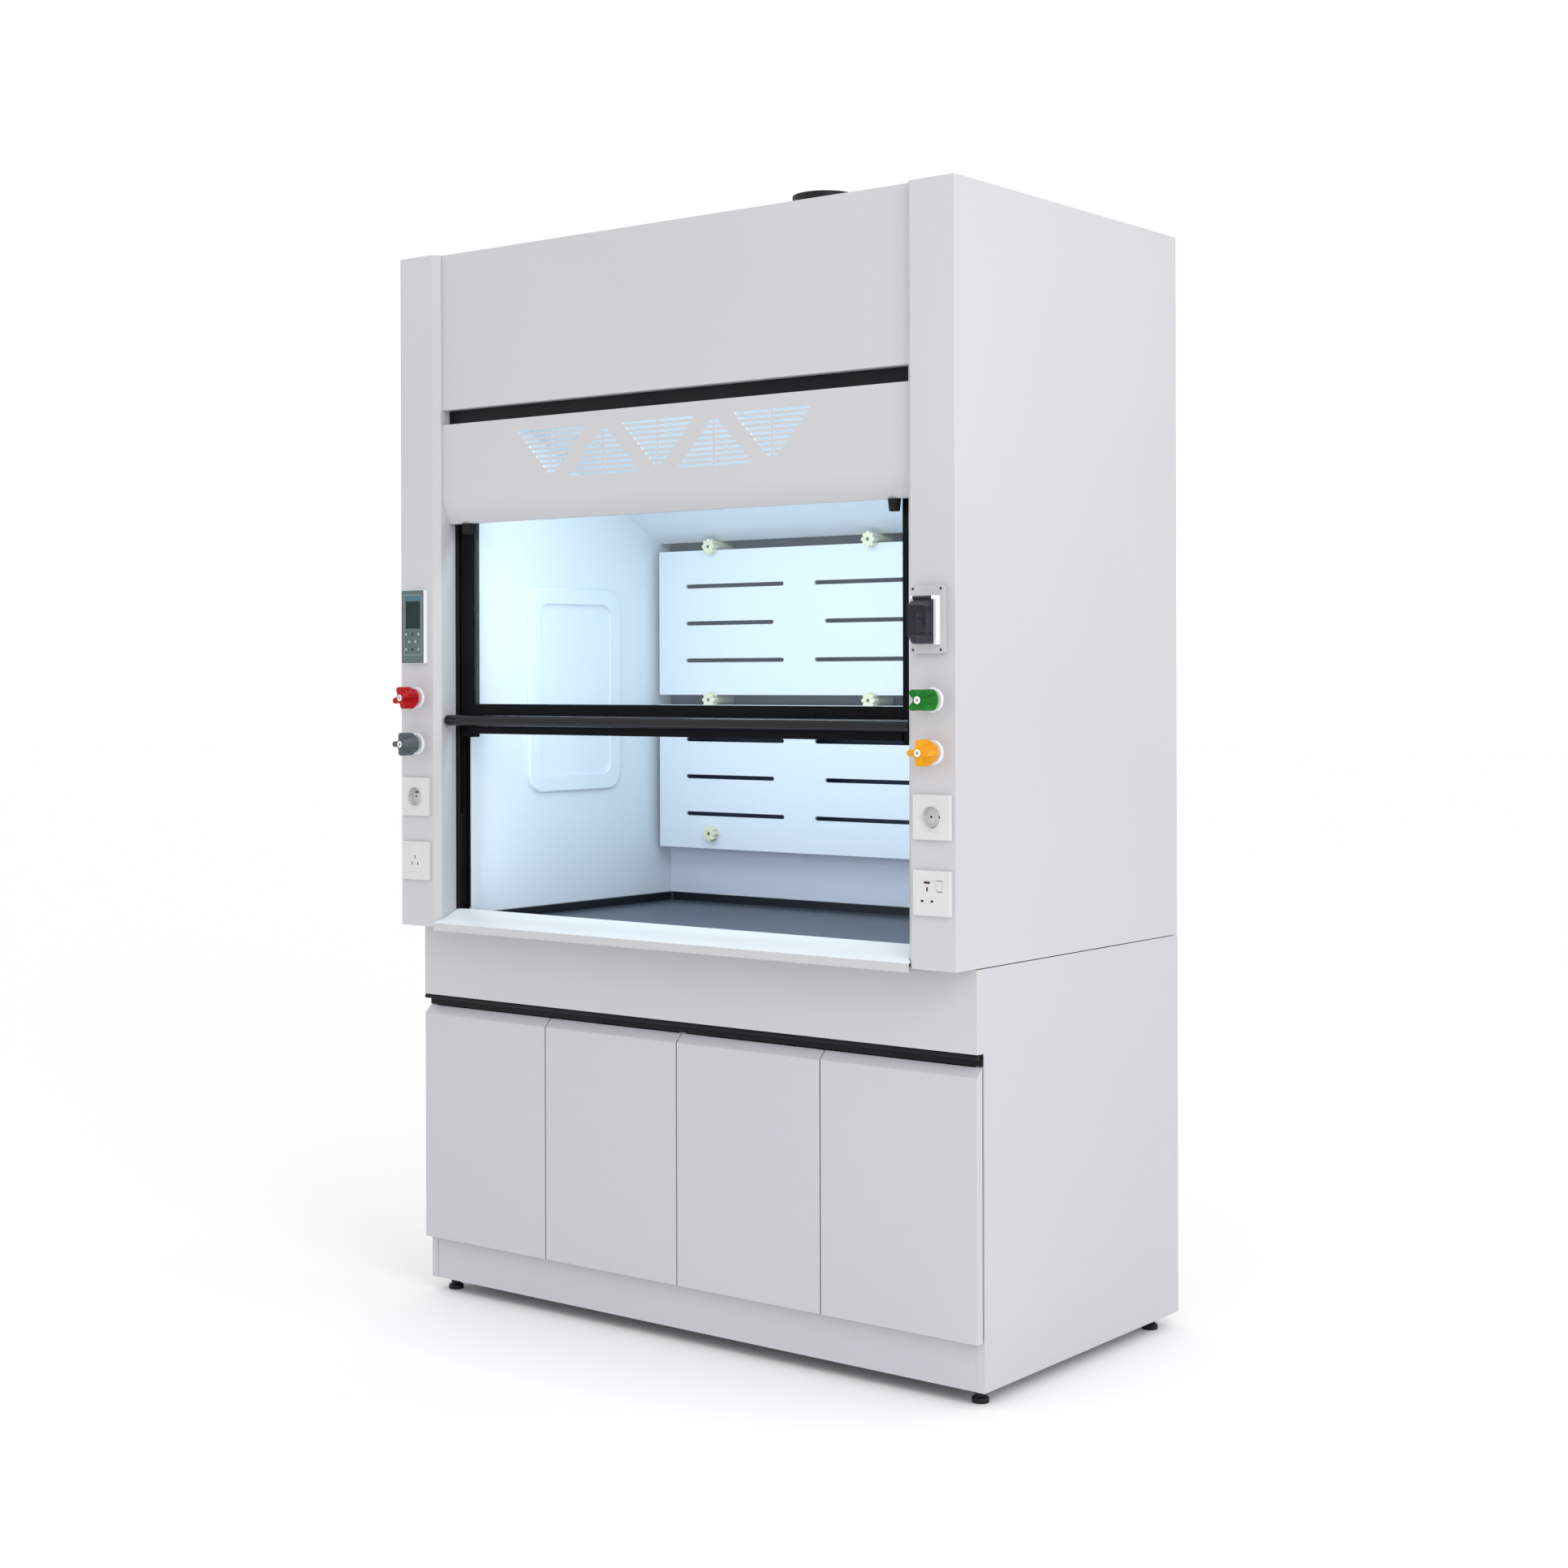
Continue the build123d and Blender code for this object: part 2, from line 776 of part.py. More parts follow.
# Worktop with a raised rim on three sides and a shallow seat for the sill in front
worktop_half = chamber_half - seat_gap
worktop_back = chamber_back - seat_gap
with BuildPart() as worktop_slab:
    block(-worktop_half, worktop_half, worktop_front, worktop_back, worktop_bottom, worktop_top)
    block(-worktop_half, worktop_half, chamber_front, worktop_back, worktop_top, worktop_top + rim_rise)
    block(-worktop_half + rim_width, worktop_half - rim_width, chamber_front - 1,
          worktop_back - rim_width, worktop_top, worktop_top + rim_rise + 1, Mode.SUBTRACT)
    block(-worktop_half - 1, worktop_half + 1, worktop_front - 1, sill_back_depth + sill_seat,
          worktop_top - sill_seat, worktop_top + 1, Mode.SUBTRACT)
    fillet([edge for edge in worktop_slab.edges().filter_by(Axis.Z)
            if abs(edge.center().Y - (front + worktop_back - rim_width)) < 0.1], rim_round)
save(worktop_slab.part, "worktop")

# Airfoil sill: folded sheet with closed ends, notched round the pillar chamfers
sill_path = [
    (sill_tail_depth, sill_bottom),
    (-sill_nose, sill_bottom),
    (-sill_nose, sill_lip_top),
    (sill_crest_depth, sill_crest),
    (sill_back_depth, sill_crest - sill_back_drop),
    (sill_back_depth, sill_foot),
]
sill_end = [
    (sill_tail_depth, sill_bottom + sill_sheet / 2),
    (-sill_nose + sill_sheet / 2, sill_bottom + sill_sheet / 2),
    (-sill_nose + sill_sheet / 2, sill_lip_top - sill_sheet / 2),
    (sill_crest_depth, sill_crest - sill_sheet / 2),
    (sill_back_depth - sill_sheet / 2, sill_crest - sill_back_drop - sill_sheet / 2),
    (sill_back_depth - sill_sheet / 2, sill_foot),
    (sill_tail_depth, sill_foot),
]
sill_half = opening_half - sill_side_gap
notch = [
    (sill_nose_half + 1, pillar_chamfer - (sill_nose_half + 1 - sill_half)),
    (sill_half, pillar_chamfer),
    (sill_half, depth),
    (sill_nose_half + 1, depth),
]
with BuildPart() as airfoil_sill:
    add(folded(section.offset(-sill_nose_half), sill_path, 2 * sill_nose_half, Side.LEFT, sill_sheet))
    for end in (-sill_half, sill_half - sill_sheet):
        with BuildSketch(section.offset(end)):
            Polygon(*sill_end, align=None)
        extrude(amount=sill_sheet)
    for hand in (-1, 1):
        with BuildSketch(plan.offset(sill_bottom - 1)):
            Polygon(*[(hand * x, d) for x, d in notch], align=None)
        extrude(amount=sill_crest - sill_bottom + 2, mode=Mode.SUBTRACT)
save(airfoil_sill.part, "airfoil_sill")

# Sash tracks, with a slot in each web for the lift arm
track_web = opening_half + track
track_path = [
    (opening_half - track_front_flange, reveal_back),
    (track_web, reveal_back),
    (track_web, track_back_depth),
    (track_web - track_lip, track_back_depth),
]
track_bottom = sill_crest + track_foot_gap
track_top = hood_top - track_top_gap
carrier_low = carrier_middle - sash_down - carrier_height / 2 - carrier_room
carrier_high = carrier_middle + sash_up + carrier_height / 2 + carrier_room
with BuildPart() as track_right:
    with BuildSketch(plan.offset(track_bottom)):
        with BuildLine():
            Polyline(*track_path)
            offset(amount=track, side=Side.LEFT)
        make_face()
    extrude(amount=track_top - track_bottom)
    block(opening_half - 1, track_web + 1, carrier_depth - carrier_thick / 2 - 2,
          carrier_depth + carrier_thick / 2 + 2, carrier_low, carrier_high, Mode.SUBTRACT)
with BuildPart() as sash_tracks:
    add(track_right.part)
    add(mirrored(track_right.part))
save(sash_tracks.part, "sash_tracks")

# Rubber bumpers under the vent panel lip
bumper_top = vent_bottom - seat_gap
with BuildPart() as sash_bumpers:
    with Locations(*[(hand * bumper_offset, front + bumper_depth, bumper_top - bumper_length / 2)
                     for hand in (-1, 1)]):
        Cone(bumper_tip_radius, bumper_top_radius, bumper_length)
    fillet(sash_bumpers.edges().group_by(Axis.Z)[0], bumper_round)
save(sash_bumpers.part, "sash_bumpers")

# Sash frame: two stiles, bottom rail with a ledge, top rail
stile_outer = opening_half - track_gap
stile_inner = stile_outer - stile_width
sash_back = sash_front + sash_thick
sash_top = sash_bottom + sash_height
rail_top = sash_bottom + bottom_rail
glass_front = sash_front + (sash_thick - glass) / 2
glass_back = glass_front + glass
groove = glass_groove
with BuildPart() as sash_frame:
    for hand in (-1, 1):
        x0, x1 = sorted((hand * stile_inner, hand * stile_outer))
        block(x0, x1, sash_front, sash_back, sash_bottom - stile_foot, sash_top)
        block(x0 + frame_wall, x1 - frame_wall, sash_front + frame_wall, sash_back - frame_wall,
              sash_bottom - stile_foot + frame_cap, sash_top - frame_cap, Mode.SUBTRACT)
    block(-stile_inner, stile_inner, sash_front, sash_back, sash_bottom, rail_top)
    block(-stile_inner, stile_inner, sash_front + frame_wall, sash_back - frame_wall,
          sash_bottom + frame_wall, rail_top - frame_wall, Mode.SUBTRACT)
    block(-stile_inner, stile_inner, sash_front - rail_ledge_out, sash_front,
          sash_bottom, sash_bottom + rail_ledge)
    block(-stile_inner, stile_inner, sash_front, sash_back, sash_top - top_rail, sash_top)
    block(-stile_inner - glass_bite - groove, stile_inner + glass_bite + groove,
          glass_front - groove, glass_back + groove,
          rail_top - glass_bite - groove, sash_top - top_rail + glass_bite + groove, Mode.SUBTRACT)
save(sash_frame.part, "sash_frame")

with BuildPart() as sash_glass:
    block(-stile_inner - glass_bite, stile_inner + glass_bite, glass_front, glass_back,
          rail_top - glass_bite, sash_top - top_rail + glass_bite)
save(sash_glass.part, "sash_glass")

# Tubular handle on three posts
handle_half = opening_half - handle_side_gap
handle_z = sash_bottom + handle_height
with BuildPart() as sash_handle:
    rod_across(handle_radius, -handle_half, handle_half, handle_depth, handle_z)
    fillet(sash_handle.edges(), handle_dome)
    rod_across(handle_radius - handle_wall, -handle_half + handle_end, handle_half - handle_end,
               handle_depth, handle_z, Mode.SUBTRACT)
    for place in (-1, 0, 1):
        rod_back(handle_post_radius, place * (handle_half - handle_post_inset), handle_depth + handle_radius - 1,
                 sash_front - seat_gap, handle_z)
save(sash_handle.part, "sash_handle")

# Arms that tie the stiles to the belts
belt_slot = belt_width / 2 + carrier_slot_gap
arm_end = pulley_offset + belt_slot + carrier_end
with BuildPart() as lift_arms:
    for hand in (-1, 1):
        x0, x1 = sorted((hand * (stile_outer + seat_gap), hand * arm_end))
        block(x0, x1, carrier_depth - carrier_thick / 2, carrier_depth + carrier_thick / 2,
              carrier_middle - carrier_height / 2, carrier_middle + carrier_height / 2)
        block(hand * pulley_offset - belt_slot, hand * pulley_offset + belt_slot,
              belt_depth - belt / 2 - carrier_slot_gap, belt_depth + belt / 2 + carrier_slot_gap,
              carrier_middle - carrier_height, carrier_middle + carrier_height, Mode.SUBTRACT)
save(lift_arms.part, "lift_arms")

# Lift shaft with its two flanged pulleys
belt_inside = pulley_radius + seat_gap
pulley_depth = belt_depth + belt / 2 + belt_inside
shaft_end = pulley_offset + pulley_width / 2 + bearing_gap + shaft_seat
rim_radius = pulley_radius + pulley_flange_rise


def pulley(x, z, bore):
    """Flanged flat-belt pulley centred on a width and a height."""
    rod_across(pulley_radius, x - pulley_width / 2, x + pulley_width / 2, pulley_depth, z)
    for side in (-1, 1):
        inner = x + side * (pulley_width / 2 - pulley_flange)
        outer = x + side * pulley_width / 2
        rod_across(rim_radius, min(inner, outer), max(inner, outer), pulley_depth, z)
    if bore:
        rod_across(bore, x - pulley_width, x + pulley_width, pulley_depth, z, Mode.SUBTRACT)


with BuildPart() as lift_shaft:
    for hand in (-1, 1):
        pulley(hand * pulley_offset, pulley_top, 0)
    rod_across(shaft_radius, -shaft_end, shaft_end, pulley_depth, pulley_top)
save(lift_shaft.part, "lift_shaft")

with BuildPart() as idler_pulleys:
    for hand in (-1, 1):
        pulley(hand * pulley_offset, pulley_low, pin_radius + running_gap)
save(idler_pulleys.part, "idler_pulleys")

# Endless flat belts
with BuildPart() as lift_belts:
    for hand in (-1, 1):
        with BuildSketch(section.offset(hand * pulley_offset - belt_width / 2)):
            with Locations((pulley_depth, (pulley_top + pulley_low) / 2)):
                SlotCenterToCenter(pulley_top - pulley_low, 2 * (belt_inside + belt), rotation=90)
                SlotCenterToCenter(pulley_top - pulley_low, 2 * belt_inside, rotation=90,
                                   mode=Mode.SUBTRACT)
        extrude(amount=belt_width)
save(lift_belts.part, "lift_belts")

# Bearing blocks for the shaft and the idler pins
block_near = pulley_offset + pulley_width / 2 + bearing_gap
block_far = half - sheet - seat_gap
with BuildPart() as pulley_brackets:
    for hand in (-1, 1):
        x0, x1 = sorted((hand * block_near, hand * block_far))
        for z in (pulley_top, pulley_low):
            block(x0, x1, pulley_depth - bearing_size / 2, pulley_depth + bearing_size / 2,
                  z - bearing_size / 2, z + bearing_size / 2)
    rod_across(shaft_radius + running_gap, -shaft_end - 1, shaft_end + 1,
               pulley_depth, pulley_top, Mode.SUBTRACT)
    for hand in (-1, 1):
        x0, x1 = sorted((hand * (pulley_offset - pulley_width / 2 - 3), hand * (block_near + 5)))
        rod_across(pin_radius, x0, x1, pulley_depth, pulley_low)
save(pulley_brackets.part, "pulley_brackets")

# Counterweights on the rear runs, and their guides
weight_depth = pulley_depth + belt_inside + belt / 2
weight_near = pulley_offset - weight_shift
weight_far = weight_near + weight_width
with BuildPart() as counterweights:
    for hand in (-1, 1):
        x0, x1 = sorted((hand * weight_near, hand * weight_far))
        block(x0, x1, weight_depth - weight_size / 2, weight_depth + weight_size / 2,
              weight_middle - weight_length / 2, weight_middle + weight_length / 2)
        block(hand * pulley_offset - belt_slot, hand * pulley_offset + belt_slot,
              weight_depth - belt / 2 - carrier_slot_gap, weight_depth + belt / 2 + carrier_slot_gap,
              weight_middle - weight_length, weight_middle + weight_length, Mode.SUBTRACT)
save(counterweights.part, "counterweights")

guide_reach = weight_size / 2 + guide_gap + sheet
guide_low = weight_middle - sash_up - weight_length / 2 - guide_ends
guide_high = weight_middle + sash_down + weight_length / 2 + guide_ends
guide_path = [
    (weight_near, weight_depth - guide_reach),
    (block_far, weight_depth - guide_reach),
    (block_far, weight_depth + guide_reach),
    (weight_near, weight_depth + guide_reach),
]
guide_right = folded(plan.offset(guide_low), guide_path, guide_high - guide_low, Side.LEFT)
with BuildPart() as counterweight_guides:
    add(guide_right)
    add(mirrored(guide_right))
save(counterweight_guides.part, "counterweight_guides")

# Base cabinet boards
base_inner = half - board
base_clear = base_inner - seat_gap
back_depth = depth - back_board - seat_gap
with BuildPart() as base_side_right:
    block(base_inner, half, base_front, depth, foot_height, base_top)
with BuildPart() as base_sides:
    add(base_side_right.part)
    add(mirrored(base_side_right.part))
save(base_sides.part, "base_sides")

plinth_top = door_bottom - plinth_gap
plinth_front = base_front + plinth_setback
plinth_inner = base_clear - plinth_beam
foot_places = [(hand * (half - foot_inset), d) for hand in (-1, 1) for d in (foot_front, foot_back)]
with BuildPart() as plinth_frame:
    block(-base_clear, base_clear, plinth_front, back_depth - seat_gap, foot_height, plinth_top)
    block(-plinth_inner, plinth_inner, plinth_front + board, back_depth - seat_gap - board,
          foot_height - 1, plinth_top + 1, Mode.SUBTRACT)
    for x, d in foot_places:
        rod_up(foot_stud_radius + thread_gap, x, d, foot_height - 1, foot_stud + 1, Mode.SUBTRACT)
save(plinth_frame.part, "plinth_frame")

floor_bottom = plinth_top + seat_gap
floor_top = floor_bottom + board
with BuildPart() as base_floor:
    block(-base_clear, base_clear, base_front, back_depth - seat_gap, floor_bottom, floor_top)
save(base_floor.part, "base_floor")

with BuildPart() as base_back:
    block(-base_clear, base_clear, back_depth, back_depth + back_board, foot_height,
          worktop_bottom - seat_gap)
save(base_back.part, "base_back")

with BuildPart() as base_partition:
    block(-board / 2, board / 2, base_front, back_depth - seat_gap, floor_top + seat_gap,
          worktop_bottom - seat_gap)
save(base_partition.part, "base_partition")

# Levelling feet
with BuildPart() as levelling_feet:
    for x, d in foot_places:
        rod_up(foot_radius, x, d, 0, foot_pad)
    fillet(levelling_feet.edges().group_by(Axis.Z)[-1], foot_round)
    for x, d in foot_places:
        rod_up(foot_stud_radius + foot_collar, x, d, foot_pad - 2, foot_height - foot_collar_gap)
        rod_up(foot_stud_radius, x, d, foot_pad - 1, foot_stud)
save(levelling_feet.part, "levelling_feet")

# Apron and finger pull
apron_path = [
    (-half, base_front - seat_gap),
    (-half, door_front),
    (half, door_front),
    (half, base_front - seat_gap),
]
apron = folded(plan.offset(apron_bottom), apron_path, base_top - apron_bottom, Side.LEFT)
save(apron, "apron")

pull_top = apron_bottom - seat_gap
nose = pull_lip / 2
with BuildPart() as finger_pull:
    with BuildSketch(section.offset(-half + pull_side_gap)):
        with Locations(((door_front + pull_back) / 2, pull_top - nose)):
            Rectangle(pull_back - door_front, pull_lip)
        with Locations((pull_back - pull_plate / 2, (pull_top + pull_bottom) / 2)):
            Rectangle(pull_plate, pull_top - pull_bottom)
        with Locations(((door_front + pull_back) / 2 + 4, pull_top - nose - 2)):
            Rectangle(pull_back - door_front - 8 - 2 * pull_plate, pull_lip - 2, mode=Mode.SUBTRACT)
    extrude(amount=2 * (half - pull_side_gap))
    nose_edges = finger_pull.edges().filter_by(Axis.X).group_by(Axis.Y)[0]
    fillet(nose_edges, nose - 0.4)
save(finger_pull.part, "finger_pull")

# Doors: bevelled top edge, two hinge cups on the back
door_thick = door_stand - door_air
door_back = door_front + door_thick
door_span = 2 * (half - door_edge)
door_width = (door_span - (door_count - 1) * door_gap) / door_count
door_names = ("door_outer_left", "door_inner_left", "door_inner_right", "door_outer_right")
hinge_plates = []
for index, name in enumerate(door_names):
    left = -half + door_edge + index * (door_width + door_gap)
    right = left + door_width
    hinge_on_left = index % 2 == 0
    hinge_edge = left if hinge_on_left else right
    inward = 1 if hinge_on_left else -1
    hinge_plates.append((hinge_edge, inward, index in (0, door_count - 1)))
    with BuildPart() as door:
        with BuildSketch(section.offset(left)):
            Polygon((door_front, door_bottom), (door_back, door_bottom), (door_back, door_top),
                    (door_front, door_top - door_thick), align=None)
        extrude(amount=door_width)
        outline_edges = door.edges().filter_by(Axis.Z) + door.edges().filter_by(Axis.X)
        chamfer(outline_edges.group_by(Axis.Y)[0], door_corner)
        for height in hinge_heights:
            rod_back(hinge_cup_radius, hinge_edge + inward * hinge_cup_inset,
                     door_back - 2, door_back + hinge_cup_rise, height)
    save(door.part, name)

with BuildPart() as hinge_arms:
    for edge, inward, outer in hinge_plates:
        wall = edge + inward * (base_inner - half + board * 2 - door_edge) if outer else inward * board / 2
        near = edge + inward * hinge_arm_inset
        far = near + inward * hinge_arm
        for height in hinge_heights:
            x0, x1 = sorted((near, far))
            block(x0, x1, door_back + hinge_cup_rise + seat_gap, door_back + hinge_arm_length,
                  height - hinge_arm_height / 2, height + hinge_arm_height / 2)
            x0, x1 = sorted((wall + inward * seat_gap, near))
            block(x0, x1, base_front + hinge_plate_setback,
                  base_front + hinge_plate_setback + hinge_plate_length,
                  height - hinge_plate_height / 2, height + hinge_plate_height / 2)
save(hinge_arms.part, "hinge_arms")


# Service valves: rosette, shank and body behind the pillar, bored for the knob's stem
valve_places = (
    ("red", -pillar_middle, valve_upper, 20),
    ("grey", -pillar_middle, valve_lower_left, 0),
    ("green", pillar_middle, valve_upper, 45),
    ("yellow", pillar_middle, valve_lower_right, 0),
)
with BuildPart() as valve_bodies:
    for colour, x, z, turn in valve_places:
        rod_back(rosette_radius, x, -rosette - seat_gap, -seat_gap, z)
    fillet(valve_bodies.edges().group_by(Axis.Y)[0], rosette_round)
    for colour, x, z, turn in valve_places:
        rod_back(shank_radius, x, -1, sheet + 3, z)
        block(x - valve_block / 2, x + valve_block / 2, sheet + seat_gap, sheet + valve_block,
              z - valve_block / 2, z + valve_block / 2)
        rod_back(stem_radius + running_gap, x, -rosette - 2, stem_length, z, Mode.SUBTRACT)
save(valve_bodies.part, "valve_bodies")



def knob_envelope(x, z):
    """Round body that every knob is carved from, rounded off towards its rosette."""
    with BuildPart() as envelope:
        rod_back(knob_tip + 0.2, x, -knob_front - 1, -knob_back, z)
        fillet(envelope.edges().group_by(Axis.Y)[-1], knob_shoulder)
    return envelope.part


for colour, x, z, turn in valve_places:
    knob_plane = Plane(origin=(x, front - knob_back, z), x_dir=(1, 0, 0), z_dir=(0, -1, 0))
    with BuildPart() as knob:
        with BuildSketch(knob_plane):
            SlotOverall(2 * knob_tip, knob_lobe, rotation=turn)
            SlotOverall(2 * knob_tip, knob_lobe, rotation=turn + 90)
            Circle(knob_core)
        extrude(amount=knob_front - knob_back)
        fillet(knob.edges().group_by(Axis.Y)[0], knob_round)
        with Locations(Location((x, front - (knob_front + knob_back) / 2, z), (90, 0, 0))):
            Cone(knob_belly, knob_core, knob_front - knob_back - knob_belly_short)
        add(knob_envelope(x, z), mode=Mode.INTERSECT)
        rod_back(knob_cap_radius, x, -knob_front - knob_cap, -knob_front + 2, z)
        rod_back(knob_neck, x, -knob_back - 2, -rosette - 2 * seat_gap, z)
        rod_back(stem_radius, x, -knob_back, stem_length - 2, z)
    save(knob.part, f"valve_knob_{colour}")


# Mains sockets
def socket_plate(x, z):
    """Square faceplate with the round box behind it."""
    with BuildSketch(elevation.offset(seat_gap)) as face:
        with Locations((x, z)):
            RectangleRounded(plate_size, plate_size, plate_corner)
    extrude(face.sketch, amount=plate - seat_gap)
    rod_back(plate_box_radius, x, -1, plate_box, z)


def socket_holes(x, z, places, wide, tall):
    """Contact slots sunk into a faceplate."""
    with BuildSketch(elevation.offset(plate)) as contacts:
        with Locations(*[(x + dx, z + dz) for dx, dz in places]):
            Rectangle(wide, tall)
    extrude(contacts.sketch, amount=-contact_depth, mode=Mode.SUBTRACT)


def round_recess(x, z):
    """Round well with a raised edge and two pin holes."""
    rod_back(earth_round_radius + earth_round_edge, x, -plate - earth_round_rise, -plate + 1, z)
    rod_back(earth_round_radius, x, -plate - 3, earth_round_depth - plate, z, Mode.SUBTRACT)
    floor = earth_round_depth - plate
    for dx in (-pin_hole_spread, pin_hole_spread):
        rod_back(pin_hole_radius, x + dx, floor - 1, floor + pin_hole_depth, z, Mode.SUBTRACT)


with BuildPart() as sockets_left:
    for z in (plate_upper, plate_lower):
        socket_plate(-pillar_middle, z)
    fillet(sockets_left.edges().group_by(Axis.Y)[0], plate_round)
    round_recess(-pillar_middle, plate_upper)
    rod_back(pin_hole_radius, -pillar_middle, earth_round_depth - plate - earth_pin_length,
             earth_round_depth - plate + 2, plate_upper + earth_pin_rise)
    socket_holes(-pillar_middle, plate_lower, ((0, 8),), 3, 7)
    socket_holes(-pillar_middle, plate_lower, ((-9, -6), (9, -6)), 3, 7)
save(sockets_left.part, "sockets_left")

with BuildPart() as sockets_right:
    for z in (plate_upper, plate_lower):
        socket_plate(pillar_middle, z)
    fillet(sockets_right.edges().group_by(Axis.Y)[0], plate_round)
    round_recess(pillar_middle, plate_upper)
    socket_holes(contact_x, earth_z, ((0, 0),), 4, 8)
    socket_holes(contact_x, contact_z, ((-contact_spread, 0), (contact_spread, 0)), 6.5, 4)
    block(rocker_x - rocker_width / 2, rocker_x + rocker_width / 2, -plate - 1, rocker_well,
          rocker_z - rocker_height / 2, rocker_z + rocker_height / 2, Mode.SUBTRACT)
    for hand in (-1, 1):
        x = rocker_x + hand * (rocker_width / 2 - 0.7)
        rod_across(rocker_pin, x - 0.8, x + 0.8, -rocker_depth, rocker_z)
save(sockets_right.part, "sockets_right")

rocker_half = rocker_width / 2 - 0.5
with BuildPart() as socket_rocker:
    with BuildSketch(section.offset(rocker_x - rocker_half)):
        Polygon((-plate - 2.4, rocker_z + rocker_height / 2 - 1.4),
                (-plate + 0.6, rocker_z - rocker_height / 2 + 1.4),
                (-plate + 5, rocker_z - rocker_height / 2 + 2.4),
                (-rocker_depth + 4, rocker_z),
                (-plate + 3, rocker_z + rocker_height / 2 - 2.4), align=None)
    extrude(amount=2 * rocker_half)
    for hand in (-1, 1):
        end = rocker_x + hand * rocker_half
        rod_across(rocker_pin + running_gap, min(end, end - hand * 1.6), max(end, end - hand * 1.6),
                   -rocker_depth, rocker_z, Mode.SUBTRACT)
save(socket_rocker.part, "socket_rocker")

# Controller: housing with membrane keys, and its display
key_columns = (-key_pitch, 0, key_pitch)
key_pairs = (-key_pitch / 2, key_pitch / 2)
key_places = [(dx, key_top_row) for dx in key_columns]
key_places += [(dx, key_top_row - key_row_pitch) for dx in key_pairs]
key_places += [(dx, key_top_row - 2 * key_row_pitch) for dx in key_columns]
body_half = controller_width / 2 - controller_body_inset
body_bottom = controller_middle_z - controller_height / 2 + controller_body_inset
body_top = controller_middle_z + controller_height / 2 - controller_body_inset
with BuildPart() as controller_housing:
    with BuildSketch(elevation.offset(seat_gap)):
        with Locations((controller_middle_x, controller_middle_z)):
            RectangleRounded(controller_width, controller_height, controller_corner)
    extrude(amount=controller_out - seat_gap)
    chamfer(controller_housing.edges().group_by(Axis.Y)[0], controller_round)
    block(controller_middle_x - body_half, controller_middle_x + body_half, -1, controller_back,
          body_bottom, body_top)
    block(controller_middle_x - display_width / 2, controller_middle_x + display_width / 2,
          -controller_out - 1, -controller_out + display_pocket,
          display_middle_z - display_height / 2, display_middle_z + display_height / 2, Mode.SUBTRACT)
    with BuildSketch(elevation.offset(controller_out - 0.5)):
        with Locations(*[(controller_middle_x + dx, z) for dx, z in key_places]):
            Circle(key_radius)
    extrude(amount=key_rise + 0.5)
save(controller_housing.part, "controller_housing")

with BuildPart() as controller_display:
    block(controller_middle_x - display_width / 2 + seat_gap,
          controller_middle_x + display_width / 2 - seat_gap,
          -controller_out + display_recess, -controller_out + display_pocket - seat_gap,
          display_middle_z - display_height / 2 + seat_gap,
          display_middle_z + display_height / 2 - seat_gap)
save(controller_display.part, "controller_display")

# Circuit breaker: base box and module, blue lever, hinged window
hinge_z = module_top - window_hinge_radius
hinge_out = module_out + window_hinge_radius + 0.5
lever_depth = -module_out + lever_sink
with BuildPart() as breaker_box:
    block(breaker_left, breaker_right, -breaker_base, -seat_gap, breaker_bottom, breaker_top)
    fillet(breaker_box.edges().filter_by(Axis.Y), breaker_round)
    block(module_left, module_right, -module_out, -breaker_base + 1, module_bottom, module_top)
    for hand in (-1, 1):
        x = module_middle + hand * (module_right - module_left - ear) / 2
        rod_across(window_hinge_radius, x - ear / 2, x + ear / 2, -hinge_out, hinge_z)
        block(x - ear / 2, x + ear / 2, -hinge_out, -module_out + 1,
              hinge_z - window_hinge_radius, hinge_z + window_hinge_radius)
    rod_across(window_hinge_pin, module_left + 1, module_right - 1, -hinge_out, hinge_z)
    block(module_middle - lever_width / 2 - 1, module_middle + lever_width / 2 + 1,
          -module_out - 1, -module_out + lever_slot_depth, lever_z - lever_slot, lever_z + lever_slot,
          Mode.SUBTRACT)
    rod_across(lever_pin, module_middle - lever_width / 2 - 2, module_middle + lever_width / 2 + 2,
               lever_depth, lever_z)
    rod_across(2.5, module_middle - 8, module_middle + 8, -module_out - 1.5, module_bottom + 14)
save(breaker_box.part, "breaker_box")

with BuildPart() as breaker_lever:
    rod_across(lever_barrel, module_middle - lever_width / 2, module_middle + lever_width / 2,
               lever_depth, lever_z)
    block(module_middle - lever_width / 2, module_middle + lever_width / 2,
          lever_depth - lever_reach, lever_depth - 2, lever_z + 1, lever_z + 6)
    rod_across(lever_pin + running_gap, module_middle - lever_width, module_middle + lever_width,
               lever_depth, lever_z, Mode.SUBTRACT)
save(breaker_lever.part, "breaker_lever")

window_left = module_left + ear + seat_gap
window_right = module_right - ear - seat_gap
window_back = -module_out - seat_gap
window_top = hinge_z - window_hinge_radius - window_hinge_gap
window_bottom = module_bottom + 1
window_rim = -module_out - window_shelf
window_outline = [
    (window_back, window_bottom),
    (window_rim, window_bottom),
    (-window_out, window_bulge_low),
    (-window_out, window_bulge_high),
    (window_rim - window_step, window_top),
    (window_back, window_top),
]
window_hollow = [
    (window_back + 1, window_bottom + window_wall),
    (window_rim + window_wall / 2, window_bottom + window_wall),
    (-window_out + window_wall, window_bulge_low + window_wall / 2),
    (-window_out + window_wall, window_bulge_high - window_wall / 2),
    (window_rim - window_step + window_wall, window_top - window_wall),
    (window_back + 1, window_top - window_wall),
]
